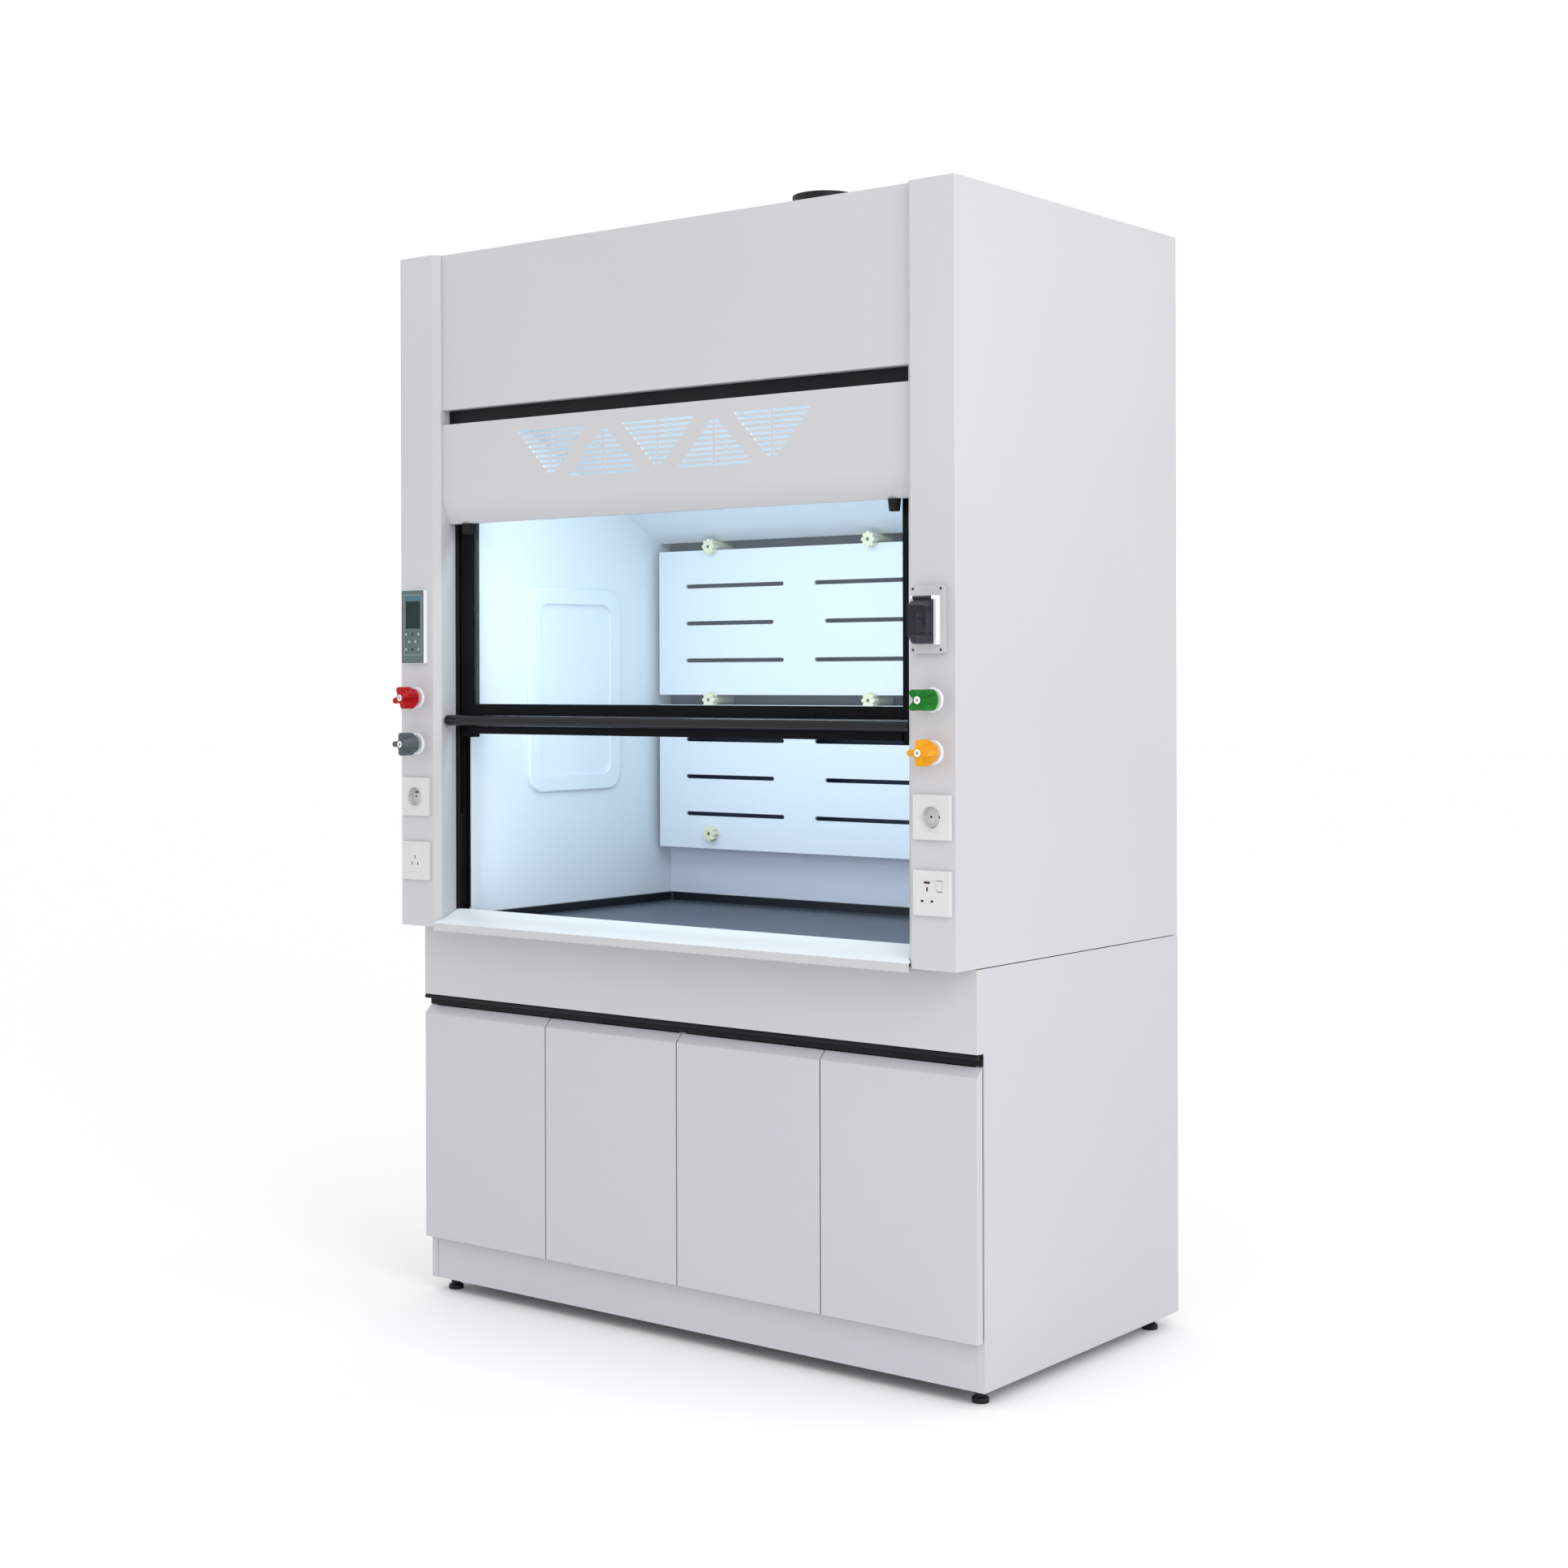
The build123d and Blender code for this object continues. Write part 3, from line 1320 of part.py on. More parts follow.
with BuildPart() as breaker_window:
    with BuildSketch(section.offset(window_left)):
        Polygon(*window_outline, align=None)
    extrude(amount=window_right - window_left)
    with BuildSketch(section.offset(window_left + window_wall)):
        Polygon(*window_hollow, align=None)
    extrude(amount=window_right - window_left - 2 * window_wall, mode=Mode.SUBTRACT)
    rod_across(window_hinge_radius - 0.4, window_left, window_right, -hinge_out, hinge_z)
    block(window_left, window_right, -hinge_out - 1.5, -hinge_out + 1.5, window_top - 1, hinge_z)
    rod_across(window_hinge_pin + running_gap, window_left - 1, window_right + 1,
               -hinge_out, hinge_z, Mode.SUBTRACT)
save(breaker_window.part, "breaker_window")
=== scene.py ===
"""Looks of the ducted fume hood: camera, studio, materials and small fittings.

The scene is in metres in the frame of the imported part. Places and sizes are named here in
millimetres, with depths measured back from the front face of the pillars, as in the part's
own source, and MM turns them into metres. The zones of the materials are in metres.
"""
import json
import math

import bmesh
import bpy
from mathutils import Matrix, Vector


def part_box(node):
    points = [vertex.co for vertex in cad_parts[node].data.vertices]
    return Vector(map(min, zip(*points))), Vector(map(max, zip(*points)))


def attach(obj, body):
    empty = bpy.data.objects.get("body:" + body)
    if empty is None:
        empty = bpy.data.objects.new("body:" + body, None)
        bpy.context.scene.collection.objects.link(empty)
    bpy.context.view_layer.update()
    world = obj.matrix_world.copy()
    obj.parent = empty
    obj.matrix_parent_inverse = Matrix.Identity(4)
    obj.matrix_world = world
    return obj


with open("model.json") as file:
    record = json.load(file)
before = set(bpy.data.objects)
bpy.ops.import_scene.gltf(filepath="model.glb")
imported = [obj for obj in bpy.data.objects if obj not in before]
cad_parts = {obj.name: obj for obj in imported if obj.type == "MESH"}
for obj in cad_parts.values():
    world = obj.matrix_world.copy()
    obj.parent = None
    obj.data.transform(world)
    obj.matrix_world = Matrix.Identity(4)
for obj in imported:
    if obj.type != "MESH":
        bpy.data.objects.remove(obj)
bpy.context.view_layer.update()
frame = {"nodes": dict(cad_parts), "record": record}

MM = 0.001
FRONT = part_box("side_shell_right")[0].y


def place(x, d, z):
    """Point in the frame from a width, a depth and a height in millimetres."""
    return Vector((x * MM, FRONT + d * MM, z * MM))


# Camera, fitted to the photograph
IMAGE = 1932
SENSOR = 36
FOCAL_PIXELS = 2970.6
HORIZON_PIXELS = 840.0
CAMERA_PLACE = (3265.8, -3752.5, 1392.0)
CAMERA_AZIMUTH = math.radians(37.918)
CAMERA_DIP = math.radians(0.089)
CAMERA_ROLL = math.radians(-0.150)


def make_camera():
    """Camera at the photograph's angle, with the shift that its framing needs."""
    data = bpy.data.cameras.new("camera")
    data.sensor_width = SENSOR
    data.lens = FOCAL_PIXELS * data.sensor_width / IMAGE
    data.shift_y = (HORIZON_PIXELS - IMAGE / 2) / IMAGE
    camera = bpy.data.objects.new("camera", data)
    bpy.context.scene.collection.objects.link(camera)
    ahead = Vector((-math.sin(CAMERA_AZIMUTH) * math.cos(CAMERA_DIP),
                    math.cos(CAMERA_AZIMUTH) * math.cos(CAMERA_DIP),
                    -math.sin(CAMERA_DIP)))
    right = Vector((math.cos(CAMERA_AZIMUTH), math.sin(CAMERA_AZIMUTH), 0))
    up = right.cross(ahead)
    right, up = (right * math.cos(CAMERA_ROLL) + up * math.sin(CAMERA_ROLL),
                 up * math.cos(CAMERA_ROLL) - right * math.sin(CAMERA_ROLL))
    turn = Matrix((right, up, -ahead)).transposed().to_4x4()
    camera.matrix_world = Matrix.Translation(place(*CAMERA_PLACE)) @ turn
    bpy.context.scene.camera = camera


def make_light(name, spot, target, size, power, colour):
    """Soft rectangular lamp that looks at a point."""
    data = bpy.data.lights.new(name, "AREA")
    data.shape = "RECTANGLE"
    data.size, data.size_y = size
    data.energy = power
    data.color = colour
    lamp = bpy.data.objects.new(name, data)
    bpy.context.scene.collection.objects.link(lamp)
    lamp.location = place(*spot)
    lamp.rotation_euler = (place(*target) - lamp.location).to_track_quat("-Z", "Y").to_euler()


WORLD_STRENGTH = 1.04
FLOOR_REACH = 40
FLOOR_WHITE = (0.96, 0.96, 0.96)
FLOOR_ROUGHNESS = 0.8
# Spots and targets in millimetres, sizes in metres, power in watts
LAMPS = {
    "key_lamp": {"spot": (3700, -1500, 2900), "target": (500, 200, 1400), "size": (2.0, 2.0),
                 "power": 52, "colour": (1, 0.99, 1)},
    "hood_lamp": {"spot": (0, 154, 2002), "target": (0, 154, 0), "size": (1.02, 0.08),
                  "power": 3.4, "colour": (0.80, 0.94, 1.0)},
    "chamber_lamp": {"spot": (0, 112, 1280), "target": (0, 720, 1280), "size": (1.15, 0.8),
                     "power": 2.5, "colour": (0.74, 0.87, 1.0)},
}


def make_studio():
    """White room, pale floor, a soft lamp at front right, and the lamps in the chamber."""
    world = bpy.data.worlds.new("studio")
    bpy.context.scene.world = world
    world.use_nodes = True
    background = world.node_tree.nodes["Background"]
    background.inputs["Color"].default_value = (1, 1, 1, 1)
    background.inputs["Strength"].default_value = WORLD_STRENGTH
    floor_mesh = bpy.data.meshes.new("floor")
    corners = [(-FLOOR_REACH, -FLOOR_REACH, 0), (FLOOR_REACH, -FLOOR_REACH, 0),
               (FLOOR_REACH, FLOOR_REACH, 0), (-FLOOR_REACH, FLOOR_REACH, 0)]
    floor_mesh.from_pydata(corners, [], [(0, 1, 2, 3)])
    floor = bpy.data.objects.new("floor", floor_mesh)
    bpy.context.scene.collection.objects.link(floor)
    floor.data.materials.append(plain("floor_pale", FLOOR_WHITE, FLOOR_ROUGHNESS))
    for name, lamp in LAMPS.items():
        make_light(name, **lamp)


def new_material(name):
    """Material with its node tree and its shader."""
    material = bpy.data.materials.new(name)
    material.use_nodes = True
    return material, material.node_tree, material.node_tree.nodes["Principled BSDF"]


def plain(name, colour, roughness):
    """Even colour, for the stage only."""
    material, _, shader = new_material(name)
    shader.inputs["Base Color"].default_value = (*colour, 1)
    shader.inputs["Roughness"].default_value = roughness
    return material


DRIFT_LOW, DRIFT_HIGH, DRIFT_DETAIL = 0.3, 0.7, 2
GRAIN_HEIGHT, GRAIN_DETAIL = 0.0004, 3
COAT_ROUGHNESS = 0.08
# Places of the colour sockets in the mix node's lists
MIX_FIRST, MIX_SECOND, MIX_RESULT = 6, 7, 2


def surface(name, dark, light, patch, rough, grain, bump, metallic=0.0, coat=0.0, specular=0.5,
            emission=0.0, tint=(1, 1, 1), alpha=1.0, zone=None):
    """Coloured surface with slow colour drift, fine grain in the bump, and uneven gloss.

    Dark and light are the ends of the drift, patch and grain the scales of the drift and of the
    fine grain, rough the ends of the gloss. A zone is an axis, two places along it in metres and
    a colour, which takes over from the first place to the second.
    """
    material, tree, shader = new_material(name)
    nodes, link = tree.nodes, tree.links.new
    spot = nodes.new("ShaderNodeTexCoord").outputs["Object"]
    drift = nodes.new("ShaderNodeTexNoise")
    drift.inputs["Scale"].default_value = patch
    drift.inputs["Detail"].default_value = DRIFT_DETAIL
    link(spot, drift.inputs["Vector"])
    ramp = nodes.new("ShaderNodeValToRGB")
    ramp.color_ramp.elements[0].position = DRIFT_LOW
    ramp.color_ramp.elements[0].color = (*dark, 1)
    ramp.color_ramp.elements[1].position = DRIFT_HIGH
    ramp.color_ramp.elements[1].color = (*light, 1)
    link(drift.outputs["Fac"], ramp.inputs["Fac"])
    colour = ramp.outputs["Color"]
    if zone:
        axis, start, end, other = zone
        split = nodes.new("ShaderNodeSeparateXYZ")
        link(spot, split.inputs["Vector"])
        share = nodes.new("ShaderNodeMapRange")
        share.inputs["From Min"].default_value = start
        share.inputs["From Max"].default_value = end
        link(split.outputs[axis], share.inputs["Value"])
        mix = nodes.new("ShaderNodeMix")
        mix.data_type = "RGBA"
        link(share.outputs["Result"], mix.inputs["Factor"])
        link(colour, mix.inputs[MIX_FIRST])
        mix.inputs[MIX_SECOND].default_value = (*other, 1)
        colour = mix.outputs[MIX_RESULT]
    link(colour, shader.inputs["Base Color"])
    gloss = nodes.new("ShaderNodeMapRange")
    gloss.inputs["To Min"].default_value = rough[0]
    gloss.inputs["To Max"].default_value = rough[1]
    link(drift.outputs["Fac"], gloss.inputs["Value"])
    link(gloss.outputs["Result"], shader.inputs["Roughness"])
    if bump:
        fine = nodes.new("ShaderNodeTexNoise")
        fine.inputs["Scale"].default_value = grain
        fine.inputs["Detail"].default_value = GRAIN_DETAIL
        link(spot, fine.inputs["Vector"])
        relief = nodes.new("ShaderNodeBump")
        relief.inputs["Strength"].default_value = bump
        relief.inputs["Distance"].default_value = GRAIN_HEIGHT
        link(fine.outputs["Fac"], relief.inputs["Height"])
        link(relief.outputs["Normal"], shader.inputs["Normal"])
    shader.inputs["Metallic"].default_value = metallic
    shader.inputs["Coat Weight"].default_value = coat
    shader.inputs["Coat Roughness"].default_value = COAT_ROUGHNESS
    shader.inputs["Specular IOR Level"].default_value = specular
    if emission:
        shader.inputs["Emission Color"].default_value = (*tint, 1)
        shader.inputs["Emission Strength"].default_value = emission
    shader.inputs["Alpha"].default_value = alpha
    return material


WHITE_SHELL = {"dark": (0.520, 0.520, 0.542), "light": (0.545, 0.545, 0.568)}
WHITE_BOARD = {"dark": (0.505, 0.512, 0.552), "light": (0.530, 0.537, 0.577)}
WHITE_PLASTIC = {"dark": (0.60, 0.605, 0.605), "light": (0.63, 0.635, 0.635)}
# Painted shade: the back liner takes this colour above the lower baffle's foot, by height, so that
# the slots and the plenum behind the baffles look unlit
PLENUM_PAINTED_SHADE = (0.060, 0.085, 0.16)
RECIPES = {
    "shell_white": dict(
        **WHITE_SHELL, patch=1.2, rough=(0.34, 0.42), grain=900, bump=0.10, coat=0.12,
    ),
    "board_white": dict(
        **WHITE_BOARD, patch=0.9, rough=(0.26, 0.34), grain=500, bump=0.06, coat=0.15,
    ),
    # Sill: above 0.85 m it is painted lighter and bluer, painted light for the chamber lamps' light
    # falling on its top
    "sill_white": dict(
        dark=(0.52, 0.52, 0.535), light=(0.54, 0.54, 0.555), patch=1.5, rough=(0.30, 0.38),
        grain=900, bump=0.08, zone=("Z", 0.8495, 0.8505, (0.80, 0.85, 0.88)),
    ),
    "liner_white": dict(
        dark=(0.70, 0.77, 0.84), light=(0.74, 0.81, 0.87), patch=1.0, rough=(0.38, 0.48), grain=700,
        bump=0.06,
    ),
    # Back liner: its zone from 1.01 to 1.05 m upward is painted shade, dark where the plenum behind
    # the baffles lies in shade
    "liner_back": dict(
        dark=(0.70, 0.75, 0.86), light=(0.74, 0.79, 0.90), patch=1.0, rough=(0.38, 0.48), grain=700,
        bump=0.06, zone=("Z", 1.01, 1.05, PLENUM_PAINTED_SHADE),
    ),
    "cover_white": dict(
        dark=(0.70, 0.78, 0.84), light=(0.74, 0.82, 0.88), patch=2.0, rough=(0.22, 0.30), grain=600,
        bump=0.03,
    ),
    "cream_plastic": dict(
        dark=(0.70, 0.72, 0.50), light=(0.78, 0.79, 0.60), patch=20, rough=(0.30, 0.42), grain=900,
        bump=0.06,
    ),
    "black_trim": dict(
        dark=(0.005, 0.005, 0.007), light=(0.010, 0.010, 0.012), patch=5, rough=(0.34, 0.46),
        grain=1200, bump=0.15, specular=0.15,
    ),
    "sash_black": dict(
        dark=(0.002, 0.002, 0.003), light=(0.004, 0.004, 0.005), patch=5, rough=(0.30, 0.40),
        grain=1200, bump=0.10, specular=0.08,
    ),
    "handle_black": dict(
        dark=(0.003, 0.003, 0.004), light=(0.006, 0.006, 0.007), patch=5, rough=(0.14, 0.20),
        grain=400, bump=0.03, specular=0.30,
    ),
    "black_plastic": dict(
        dark=(0.006, 0.006, 0.007), light=(0.012, 0.012, 0.014), patch=10, rough=(0.40, 0.55),
        grain=1500, bump=0.2, specular=0.25,
    ),
    "black_rubber": dict(
        dark=(0.006, 0.006, 0.006), light=(0.012, 0.012, 0.012), patch=12, rough=(0.55, 0.70),
        grain=1500, bump=0.25, specular=0.2,
    ),
    "worktop_dark": dict(
        dark=(0.055, 0.070, 0.098), light=(0.068, 0.085, 0.118), patch=2.5, rough=(0.30, 0.40),
        grain=600, bump=0.12, specular=0.35, zone=("Z", 0.8465, 0.8475, (0.008, 0.010, 0.014)),
    ),
    "steel": dict(
        dark=(0.42, 0.42, 0.43), light=(0.52, 0.52, 0.53), patch=6, rough=(0.28, 0.40), grain=300,
        bump=0.1, metallic=1.0,
    ),
    "counterweight_iron": dict(
        dark=(0.10, 0.10, 0.11), light=(0.16, 0.16, 0.16), patch=8, rough=(0.5, 0.65), grain=200,
        bump=0.3, metallic=0.6,
    ),
    "valve_white": dict(
        dark=(0.76, 0.76, 0.80), light=(0.80, 0.80, 0.84), patch=15, rough=(0.18, 0.26), grain=600,
        bump=0.02, coat=0.2,
    ),
    "socket_white": dict(
        **WHITE_PLASTIC, patch=15, rough=(0.20, 0.28), grain=600, bump=0.02, coat=0.15,
    ),
    "breaker_base": dict(
        dark=(0.46, 0.46, 0.47), light=(0.50, 0.50, 0.51), patch=15, rough=(0.28, 0.36), grain=600,
        bump=0.03, zone=("Y", FRONT - 13.2 * MM, FRONT - 13.6 * MM, (0.78, 0.78, 0.80)),
    ),
    "knob_red": dict(
        dark=(0.38, 0.002, 0.004), light=(0.46, 0.004, 0.006), patch=30, rough=(0.24, 0.34),
        grain=800, bump=0.05, specular=0.22,
    ),
    "knob_grey": dict(
        dark=(0.075, 0.095, 0.105), light=(0.100, 0.120, 0.130), patch=30, rough=(0.26, 0.36),
        grain=800, bump=0.05, specular=0.22,
    ),
    "knob_green": dict(
        dark=(0.001, 0.130, 0.004), light=(0.002, 0.175, 0.008), patch=30, rough=(0.24, 0.34),
        grain=800, bump=0.05, specular=0.22,
    ),
    "knob_yellow": dict(
        dark=(0.72, 0.28, 0.002), light=(0.80, 0.35, 0.004), patch=30, rough=(0.24, 0.34),
        grain=800, bump=0.05, specular=0.22,
    ),
    "controller_teal": dict(
        dark=(0.086, 0.125, 0.130), light=(0.105, 0.150, 0.155), patch=12, rough=(0.30, 0.38),
        grain=900, bump=0.04, specular=0.3,
        zone=("Y", FRONT - 11.7 * MM, FRONT - 11.2 * MM, (0.80, 0.80, 0.82)),
    ),
    "film_edge": dict(
        dark=(0.18, 0.225, 0.235), light=(0.22, 0.27, 0.28), patch=40, rough=(0.30, 0.38),
        grain=900, bump=0.03,
    ),
    "film_blue": dict(
        dark=(0.035, 0.125, 0.165), light=(0.050, 0.155, 0.195), patch=40, rough=(0.26, 0.34),
        grain=900, bump=0.03,
    ),
    "key_light": dict(
        dark=(0.30, 0.36, 0.37), light=(0.36, 0.42, 0.43), patch=60, rough=(0.30, 0.40), grain=900,
        bump=0.03,
    ),
    "key_dark": dict(
        dark=(0.012, 0.025, 0.035), light=(0.02, 0.035, 0.045), patch=60, rough=(0.30, 0.40),
        grain=900, bump=0.03,
    ),
    "display_green": dict(
        dark=(0.006, 0.020, 0.018), light=(0.010, 0.028, 0.024), patch=15, rough=(0.10, 0.16),
        grain=500, bump=0.01, specular=0.2,
    ),
    "lever_blue": dict(
        dark=(0.004, 0.018, 0.20), light=(0.008, 0.028, 0.28), patch=30, rough=(0.22, 0.32),
        grain=800, bump=0.04,
    ),
    "smoky_window": dict(
        dark=(0.006, 0.009, 0.018), light=(0.010, 0.014, 0.026), patch=15, rough=(0.06, 0.10),
        grain=300, bump=0, specular=0.3, alpha=0.62,
    ),
    "module_grey": dict(
        dark=(0.20, 0.20, 0.23), light=(0.25, 0.25, 0.28), patch=30, rough=(0.3, 0.4), grain=700,
        bump=0.03,
    ),
    "sash_glass": dict(
        dark=(0.78, 0.93, 0.95), light=(0.82, 0.95, 0.97), patch=2, rough=(0.02, 0.03), grain=300,
        bump=0, specular=0.2, alpha=0.05,
    ),
    "lens": dict(
        dark=(0.9, 0.95, 1.0), light=(0.92, 0.97, 1.0), patch=3, rough=(0.4, 0.5), grain=600,
        bump=0.05, emission=1.2, tint=(0.82, 0.95, 1.0),
    ),
    "cap_white": dict(
        dark=(0.74, 0.74, 0.75), light=(0.78, 0.78, 0.79), patch=60, rough=(0.22, 0.30), grain=900,
        bump=0.02,
    ),
    "cap_grey": dict(
        dark=(0.24, 0.24, 0.25), light=(0.30, 0.30, 0.31), patch=60, rough=(0.28, 0.38), grain=900,
        bump=0.02,
    ),
    # Painted shade: the dark of the socket holes, slits and screw slots, standing in for their
    # depth; the sockets' earth pin has this colour too
    "hole_dark": dict(
        dark=(0.006, 0.005, 0.006), light=(0.012, 0.010, 0.012), patch=60, rough=(0.5, 0.6),
        grain=900, bump=0.05, specular=0.1,
    ),
    "hole_red": dict(
        dark=(0.045, 0.004, 0.008), light=(0.065, 0.006, 0.012), patch=60, rough=(0.4, 0.5),
        grain=900, bump=0.05, specular=0.2,
    ),
    "line_grey": dict(
        dark=(0.50, 0.50, 0.49), light=(0.54, 0.54, 0.53), patch=60, rough=(0.4, 0.5), grain=900,
        bump=0.03,
    ),
    "screw_dark": dict(
        dark=(0.10, 0.09, 0.09), light=(0.16, 0.14, 0.14), patch=200, rough=(0.30, 0.45),
        grain=1500, bump=0.1, metallic=0.8,
    ),
    "insert_brown": dict(
        dark=(0.070, 0.055, 0.020), light=(0.11, 0.085, 0.03), patch=200, rough=(0.35, 0.5),
        grain=1500, bump=0.1,
    ),
}
MATERIALS = {name: surface(name, **recipe) for name, recipe in RECIPES.items()}


EDGE_ANGLE = math.radians(30)
EDGE_SEGMENTS = 2


def dress(node, material, bevel=0.0):
    """Give a node its material and, where a width is given, soft edges."""
    thing = frame["nodes"][node]
    if not thing.data.materials:
        thing.data.materials.append(MATERIALS[material])
    for index in range(len(thing.material_slots)):
        thing.material_slots[index].material = MATERIALS[material]
    if bevel:
        edge = thing.modifiers.new("edge", "BEVEL")
        edge.width = bevel * MM
        edge.segments = EDGE_SEGMENTS
        edge.limit_method = "ANGLE"
        edge.angle_limit = EDGE_ANGLE
        edge.use_clamp_overlap = True
        edge.harden_normals = True


SLOTS = {entry["node"]: entry["material_slot"] for entry in frame["record"]["subparts"]}
OWN_MATERIAL = {"liner_back": "liner_back", "breaker_box": "breaker_base"}
BEVELS = {
    "door_outer_left": 0.8, "door_inner_left": 0.8,
    "door_inner_right": 0.8, "door_outer_right": 0.8,
    "sash_frame": 0.8, "worktop": 1.0, "base_sides": 0.6, "plinth_frame": 0.6,
}


def dress_nodes():
    """Give every CAD node the material of its slot, or its own."""
    for node, slot in SLOTS.items():
        dress(node, OWN_MATERIAL.get(node, slot), BEVELS.get(node, 0.0))


def piece(name, shape, material, body):
    """Small fitting made from a bmesh, with its material and body."""
    mesh = bpy.data.meshes.new(name)
    shape.to_mesh(mesh)
    shape.free()
    thing = bpy.data.objects.new(name, mesh)
    bpy.context.scene.collection.objects.link(thing)
    mesh.materials.append(MATERIALS[material])
    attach(thing, body)


# Angle in radians above which an edge counts as sharp, and the rounding of thin fittings
SHARP_ANGLE = 0.6
THIN_EDGE = 0.1


def soften(shape, verts, width):
    """Round the sharp edges between the given corners."""
    edges = {edge for vert in verts for edge in vert.link_edges
             if edge.calc_face_angle(0) > SHARP_ANGLE}
    bmesh.ops.bevel(shape, geom=list(edges), offset=width * MM, segments=EDGE_SEGMENTS,
                    affect="EDGES", clamp_overlap=True)


def slab(shape, x, d, z, wide, deep, tall, edge=0.0):
    """Rounded block on a front face: its back is at depth d and it stands out by deep."""
    size = Matrix.Diagonal((wide * MM, deep * MM, tall * MM, 1))
    matrix = Matrix.Translation(place(x, d - deep / 2, z)) @ size
    made = bmesh.ops.create_cube(shape, size=1, matrix=matrix)
    if edge:
        soften(shape, made["verts"], edge)


def disc(shape, x, d, z, radius, deep, edge=0.0, end_radius=None, sides=28):
    """Round button on a front face: its back is at depth d and it stands out by deep."""
    turn = Matrix.Rotation(math.radians(90), 4, "X")
    matrix = Matrix.Translation(place(x, d - deep / 2, z)) @ turn
    made = bmesh.ops.create_cone(shape, cap_ends=True, segments=sides, radius1=radius * MM,
                                 radius2=(end_radius or radius) * MM, depth=deep * MM,
                                 matrix=matrix)
    if edge:
        soften(shape, made["verts"], edge)


def frame_strip(shape, x, d, z, wide, tall, bar, deep):
    """Flat rectangular frame on a front face."""
    for hand in (-1, 1):
        slab(shape, x + hand * (wide - bar) / 2, d, z, bar, deep, tall, THIN_EDGE)
        slab(shape, x, d, z + hand * (tall - bar) / 2, wide - 2 * bar, deep, bar, THIN_EDGE)


# Screw heads and their slots, as shares of the head's radius; the slots are dark slabs, painted
# shade for the depth of the cross
HEAD_RISE, HEAD_EDGE, HEAD_TOP = 0.35, 0.2, 0.8
SLOT_LONG, SLOT_NARROW, SLOT_BACK, SLOT_RISE = 1.2, 0.24, 0.30, 0.09


def screw(name, places, radius, body):
    """Domed heads with a cross slot, whose dark is painted shade for its depth."""
    heads = bmesh.new()
    slots = bmesh.new()
    for x, d, z in places:
        disc(heads, x, d, z, radius, radius * HEAD_RISE, radius * HEAD_EDGE,
             end_radius=radius * HEAD_TOP)
        for wide, tall in ((SLOT_LONG, SLOT_NARROW), (SLOT_NARROW, SLOT_LONG)):
            slab(slots, x, d - radius * SLOT_BACK, z, radius * wide, radius * SLOT_RISE,
                 radius * tall)
    piece(name + "_heads", heads, "screw_dark", body)
    piece(name + "_slots", slots, "hole_dark", body)


# From here on, a disc is its radius, thickness and edge, and a slab its width, thickness,
# height and edge, where it has one.

# Controller: outline of its film, blue band over the display and eight keys
CONTROLLER_X, CONTROLLER_Z, CONTROLLER_FACE = -700.0, 1508.5, -12.0
OUTLINE_SHIFT, OUTLINE_RISE = 1, 4
OUTLINE_WIDTH, OUTLINE_HEIGHT, OUTLINE_BAR, OUTLINE_THICKNESS = 57, 136, 2.2, 0.3
BAND_RISE, BAND_SLAB = 64, (50, 0.25, 11)
KEY_ROWS = (3, 2, 3)
DARK_KEYS = ((0, 1), (2, 1))
KEY_PITCH, KEY_ROW_PITCH, KEY_TOP = 20.0, 17.0, 1492.0
KEY_BACK, KEY_RADIUS, KEY_THICKNESS = 0.6, 3.4, 0.3


def dress_controller():
    """Film's outline, the band over the display and the keys, all on the controller's face."""
    outline = bmesh.new()
    frame_strip(outline, CONTROLLER_X + OUTLINE_SHIFT, CONTROLLER_FACE, CONTROLLER_Z + OUTLINE_RISE,
                OUTLINE_WIDTH, OUTLINE_HEIGHT, OUTLINE_BAR, OUTLINE_THICKNESS)
    piece("controller_outline", outline, "film_edge", "hood")
    band = bmesh.new()
    slab(band, CONTROLLER_X, CONTROLLER_FACE, CONTROLLER_Z + BAND_RISE, *BAND_SLAB, THIN_EDGE)
    piece("controller_band", band, "film_blue", "hood")
    light, dark = bmesh.new(), bmesh.new()
    for row, count in enumerate(KEY_ROWS):
        for index in range(count):
            x = CONTROLLER_X + (index - (count - 1) / 2) * KEY_PITCH
            shape = dark if (row, index) in DARK_KEYS else light
            disc(shape, x, CONTROLLER_FACE - KEY_BACK, KEY_TOP - row * KEY_ROW_PITCH,
                 KEY_RADIUS, KEY_THICKNESS, THIN_EDGE)
    piece("controller_keys_light", light, "key_light", "hood")
    piece("controller_keys_dark", dark, "key_dark", "hood")


# Valve knobs: white cap with a grey middle
KNOB_FACE = -53.2
KNOBS = {
    "red": (-698.5, 1350), "grey": (-698.5, 1247), "green": (698.5, 1350), "yellow": (698.5, 1251),
}
CAP_DISC = (7.4, 0.6, 0.25)
CAP_THICKNESS = CAP_DISC[1]
CAP_MIDDLE_DISC = (2.8, 0.3, THIN_EDGE)


def dress_knobs():
    """Cap and its middle on every valve knob."""
    for colour, (x, z) in KNOBS.items():
        cap, middle = bmesh.new(), bmesh.new()
        disc(cap, x, KNOB_FACE, z, *CAP_DISC)
        disc(middle, x, KNOB_FACE - CAP_THICKNESS, z, *CAP_MIDDLE_DISC)
        piece(f"knob_cap_{colour}", cap, "cap_white", f"valve_knob_{colour}")
        piece(f"knob_middle_{colour}", middle, "cap_grey", f"valve_knob_{colour}")
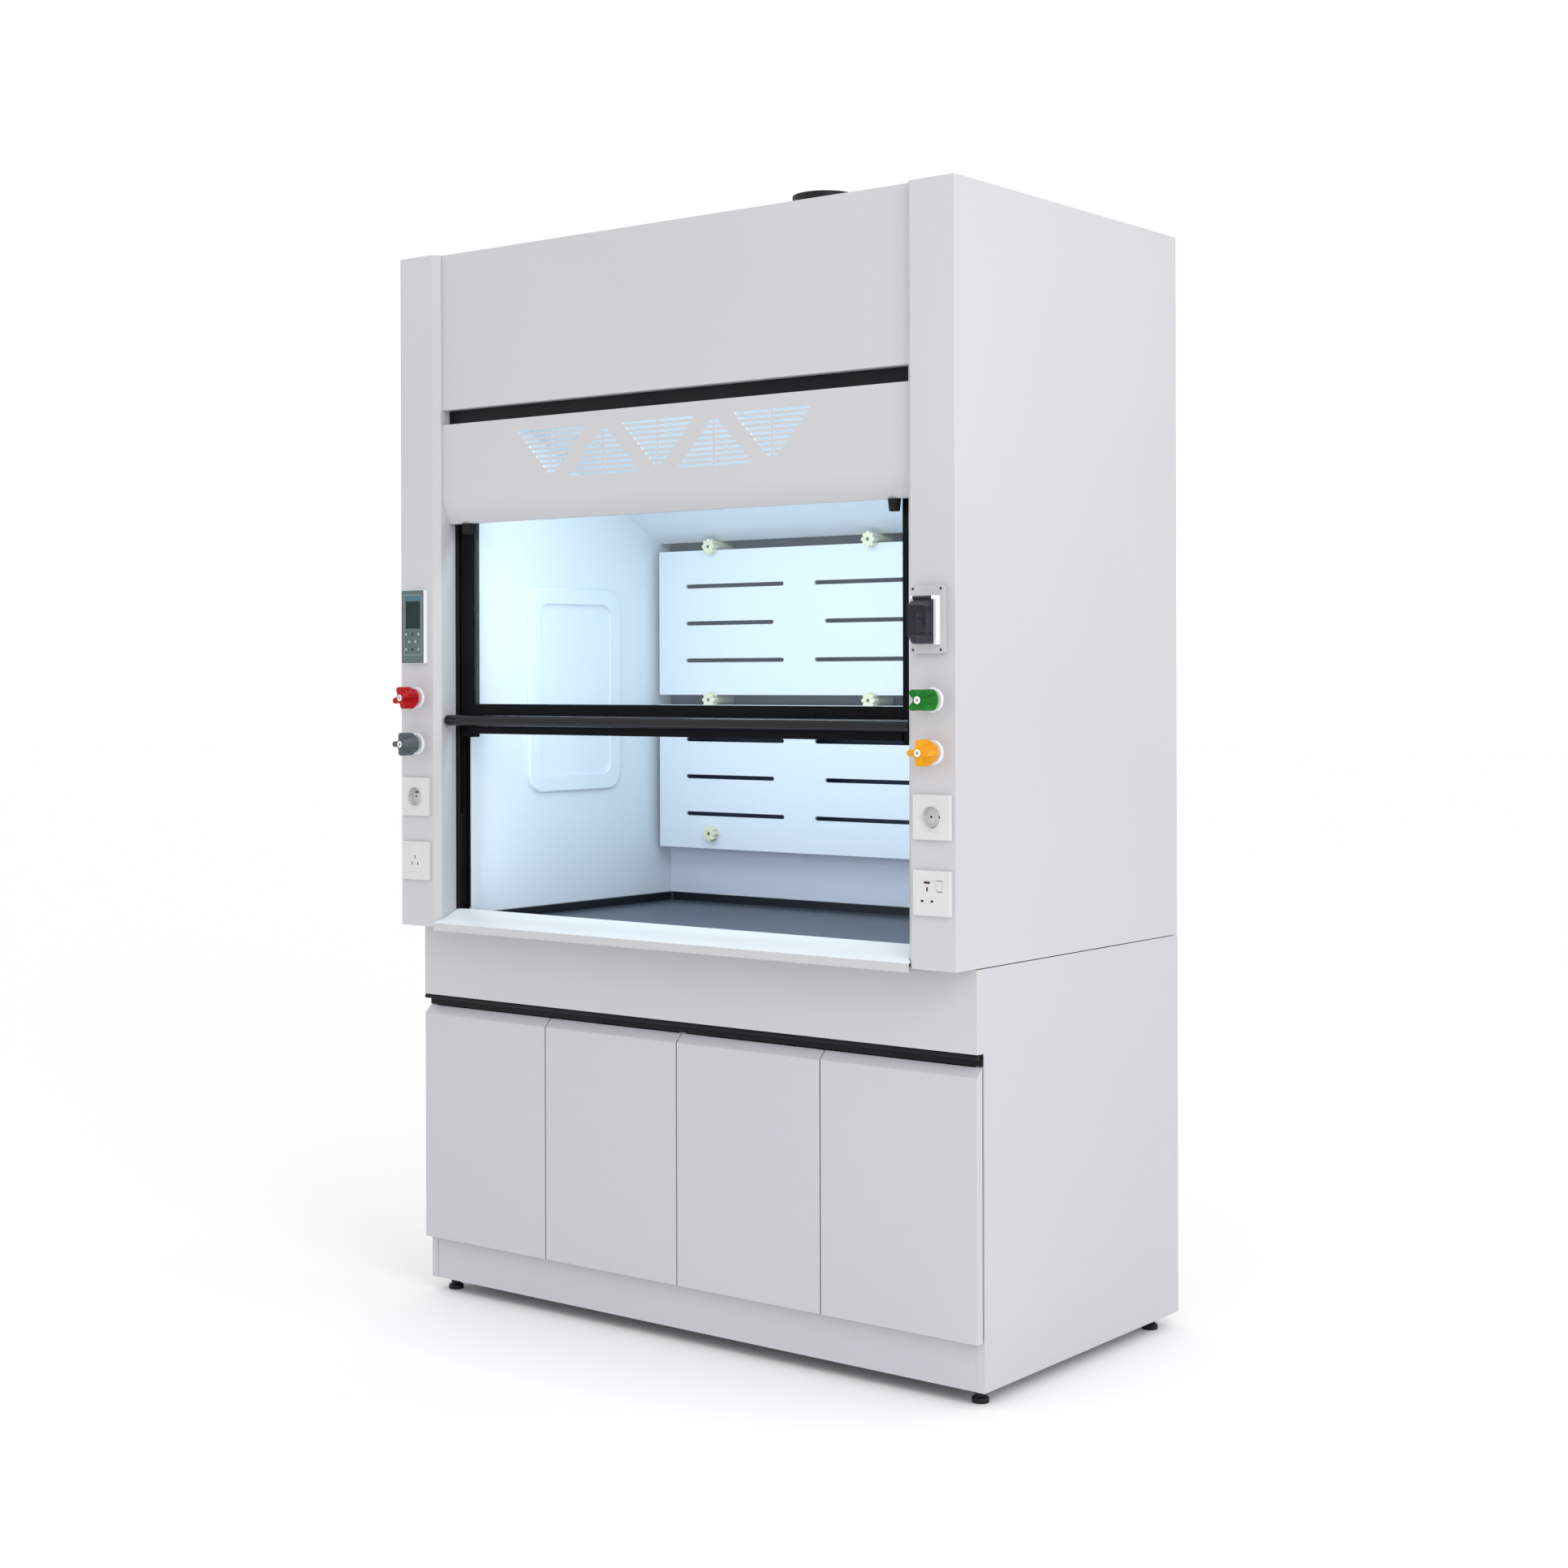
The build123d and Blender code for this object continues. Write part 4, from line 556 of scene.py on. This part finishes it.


# Sockets: dark holes and earth pin, moulded lines, red marker and earth clips; the dark discs and
# slabs in the holes and slits are painted shade for their depth
PLATE_FACE = -8.0
PLATE_MIDDLE = 698.5
PLATE_UPPER, PLATE_LOWER = 1129.0, 986.0
RECESS_FLOOR = 6.0
PIN_SPREAD, PIN_BACK, PIN_DISC = 9.5, 1.0, (2.3, 0.4)
UPPER_LINE_SHIFT, UPPER_LINE_DROP, UPPER_LINE_SLAB = 5, 27, (28, 0.12, 0.8)
LOWER_LINES = {-1: (-25, (42, 0.12, 0.8)), 1: (24, (52, 0.12, 0.8))}
EARTH_PIN_BACK, EARTH_PIN_RISE, EARTH_PIN_DISC = 0.0, 10, (2.9, 4.2, 0.8)
LEFT_SLITS, LEFT_SLIT_BACK, LEFT_SLIT_SLAB = ((0, 8), (-9, -6), (9, -6)), 1.4, (2.7, 0.4, 6.6)
RIGHT_SLITS, RIGHT_SLIT_BACK, RIGHT_SLIT_SLAB = ((-21.2, -15), (1.2, -15)), 1.2, (6.2, 0.4, 3.7)
MARKER_SHIFT = 10
RED_SLIT_RISE, RED_SLIT_BACK, RED_SLIT_SLAB = 7.5, 1.2, (3.7, 0.4, 7.7)
MARKER_RISE, MARKER_SLAB = 20, (13.5, 0.35, 4.2, 0.15)
CLIP_SPREAD, CLIP_BACK, CLIP_SLAB = 19.4, 0.4, (6, 10, 1.4, 0.4)


def dress_sockets():
    """Painted shade in the holes and slits, and the earth pin, lines, red marker and earth clips of
    the four sockets.
    """
    dark, red, lines, clips = bmesh.new(), bmesh.new(), bmesh.new(), bmesh.new()
    for hand in (-1, 1):
        middle = hand * PLATE_MIDDLE
        for side in (-1, 1):
            disc(dark, middle + side * PIN_SPREAD, RECESS_FLOOR + PIN_BACK, PLATE_UPPER, *PIN_DISC)
        slab(lines, middle + UPPER_LINE_SHIFT, PLATE_FACE, PLATE_UPPER - UPPER_LINE_DROP,
             *UPPER_LINE_SLAB)
        line_rise, line_slab = LOWER_LINES[hand]
        slab(lines, middle, PLATE_FACE, PLATE_LOWER + line_rise, *line_slab)
    disc(dark, -PLATE_MIDDLE, EARTH_PIN_BACK, PLATE_UPPER + EARTH_PIN_RISE, *EARTH_PIN_DISC)
    for dx, dz in LEFT_SLITS:
        slab(dark, -PLATE_MIDDLE + dx, PLATE_FACE + LEFT_SLIT_BACK, PLATE_LOWER + dz,
             *LEFT_SLIT_SLAB)
    for dx, dz in RIGHT_SLITS:
        slab(dark, PLATE_MIDDLE + dx, PLATE_FACE + RIGHT_SLIT_BACK, PLATE_LOWER + dz,
             *RIGHT_SLIT_SLAB)
    marker_x = PLATE_MIDDLE - MARKER_SHIFT
    slab(red, marker_x, PLATE_FACE + RED_SLIT_BACK, PLATE_LOWER + RED_SLIT_RISE, *RED_SLIT_SLAB)
    slab(red, marker_x, PLATE_FACE, PLATE_LOWER + MARKER_RISE, *MARKER_SLAB)
    for side in (-1, 1):
        slab(clips, PLATE_MIDDLE, RECESS_FLOOR - CLIP_BACK, PLATE_UPPER + side * CLIP_SPREAD,
             *CLIP_SLAB)
    # The holes and slits hold painted shade; the earth pin shares their dark material
    piece("socket_hole_shade_and_pin", dark, "hole_dark", "hood")
    piece("socket_marker", red, "hole_red", "hood")
    piece("socket_lines", lines, "line_grey", "hood")
    piece("socket_clips", clips, "steel", "hood")


# Breaker box: corner screws and two grey fields on the module
BREAKER_X, BREAKER_Z = 693.5, 1501.75
BREAKER_BASE_FACE, MODULE_FACE = -13.0, -28.0
SCREW_SPREAD, SCREW_RISE, SCREW_RADIUS = 31.5, 57.5, 3.0
MODULE_X = 697.5
FIELD_SLABS = {1520: (34, 0.3, 12), 1474: (34, 0.3, 7)}


def dress_breaker():
    """Screws in the box's corners and the fields on its module."""
    corners = [(BREAKER_X + sx * SCREW_SPREAD, BREAKER_BASE_FACE, BREAKER_Z + sz * SCREW_RISE)
               for sx in (-1, 1) for sz in (-1, 1)]
    screw("breaker_corner", corners, SCREW_RADIUS, "hood")
    face = bmesh.new()
    for z, field in FIELD_SLABS.items():
        slab(face, MODULE_X, MODULE_FACE, z, *field, THIN_EDGE)
    piece("breaker_fields", face, "module_grey", "hood")


# Chamber: brown six-sided inserts in the baffle knobs, by the heights of their rows
KNOB_SIDES, KNOB_MIDDLE = (-432.0, 432.0), (41.0,)
BAFFLE_KNOB_ROWS = {
    1019.0: KNOB_SIDES, 1340.0: KNOB_SIDES + KNOB_MIDDLE, 1708.0: KNOB_SIDES + KNOB_MIDDLE,
}
INSERT_DISC, INSERT_SIDES = (3.4, 0.5, 0.15), 6


def dress_chamber():
    """Insert in the face of every baffle knob."""
    knob_face = (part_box("baffle_knobs")[0].y - FRONT) / MM
    inserts = bmesh.new()
    for z, columns in BAFFLE_KNOB_ROWS.items():
        for x in columns:
            disc(inserts, x, knob_face, z, *INSERT_DISC, sides=INSERT_SIDES)
    piece("baffle_knob_inserts", inserts, "insert_brown", "hood")


make_camera()
make_studio()
dress_nodes()
dress_controller()
dress_knobs()
dress_sockets()
dress_breaker()
dress_chamber()
bpy.context.scene.view_settings.view_transform = "Standard"
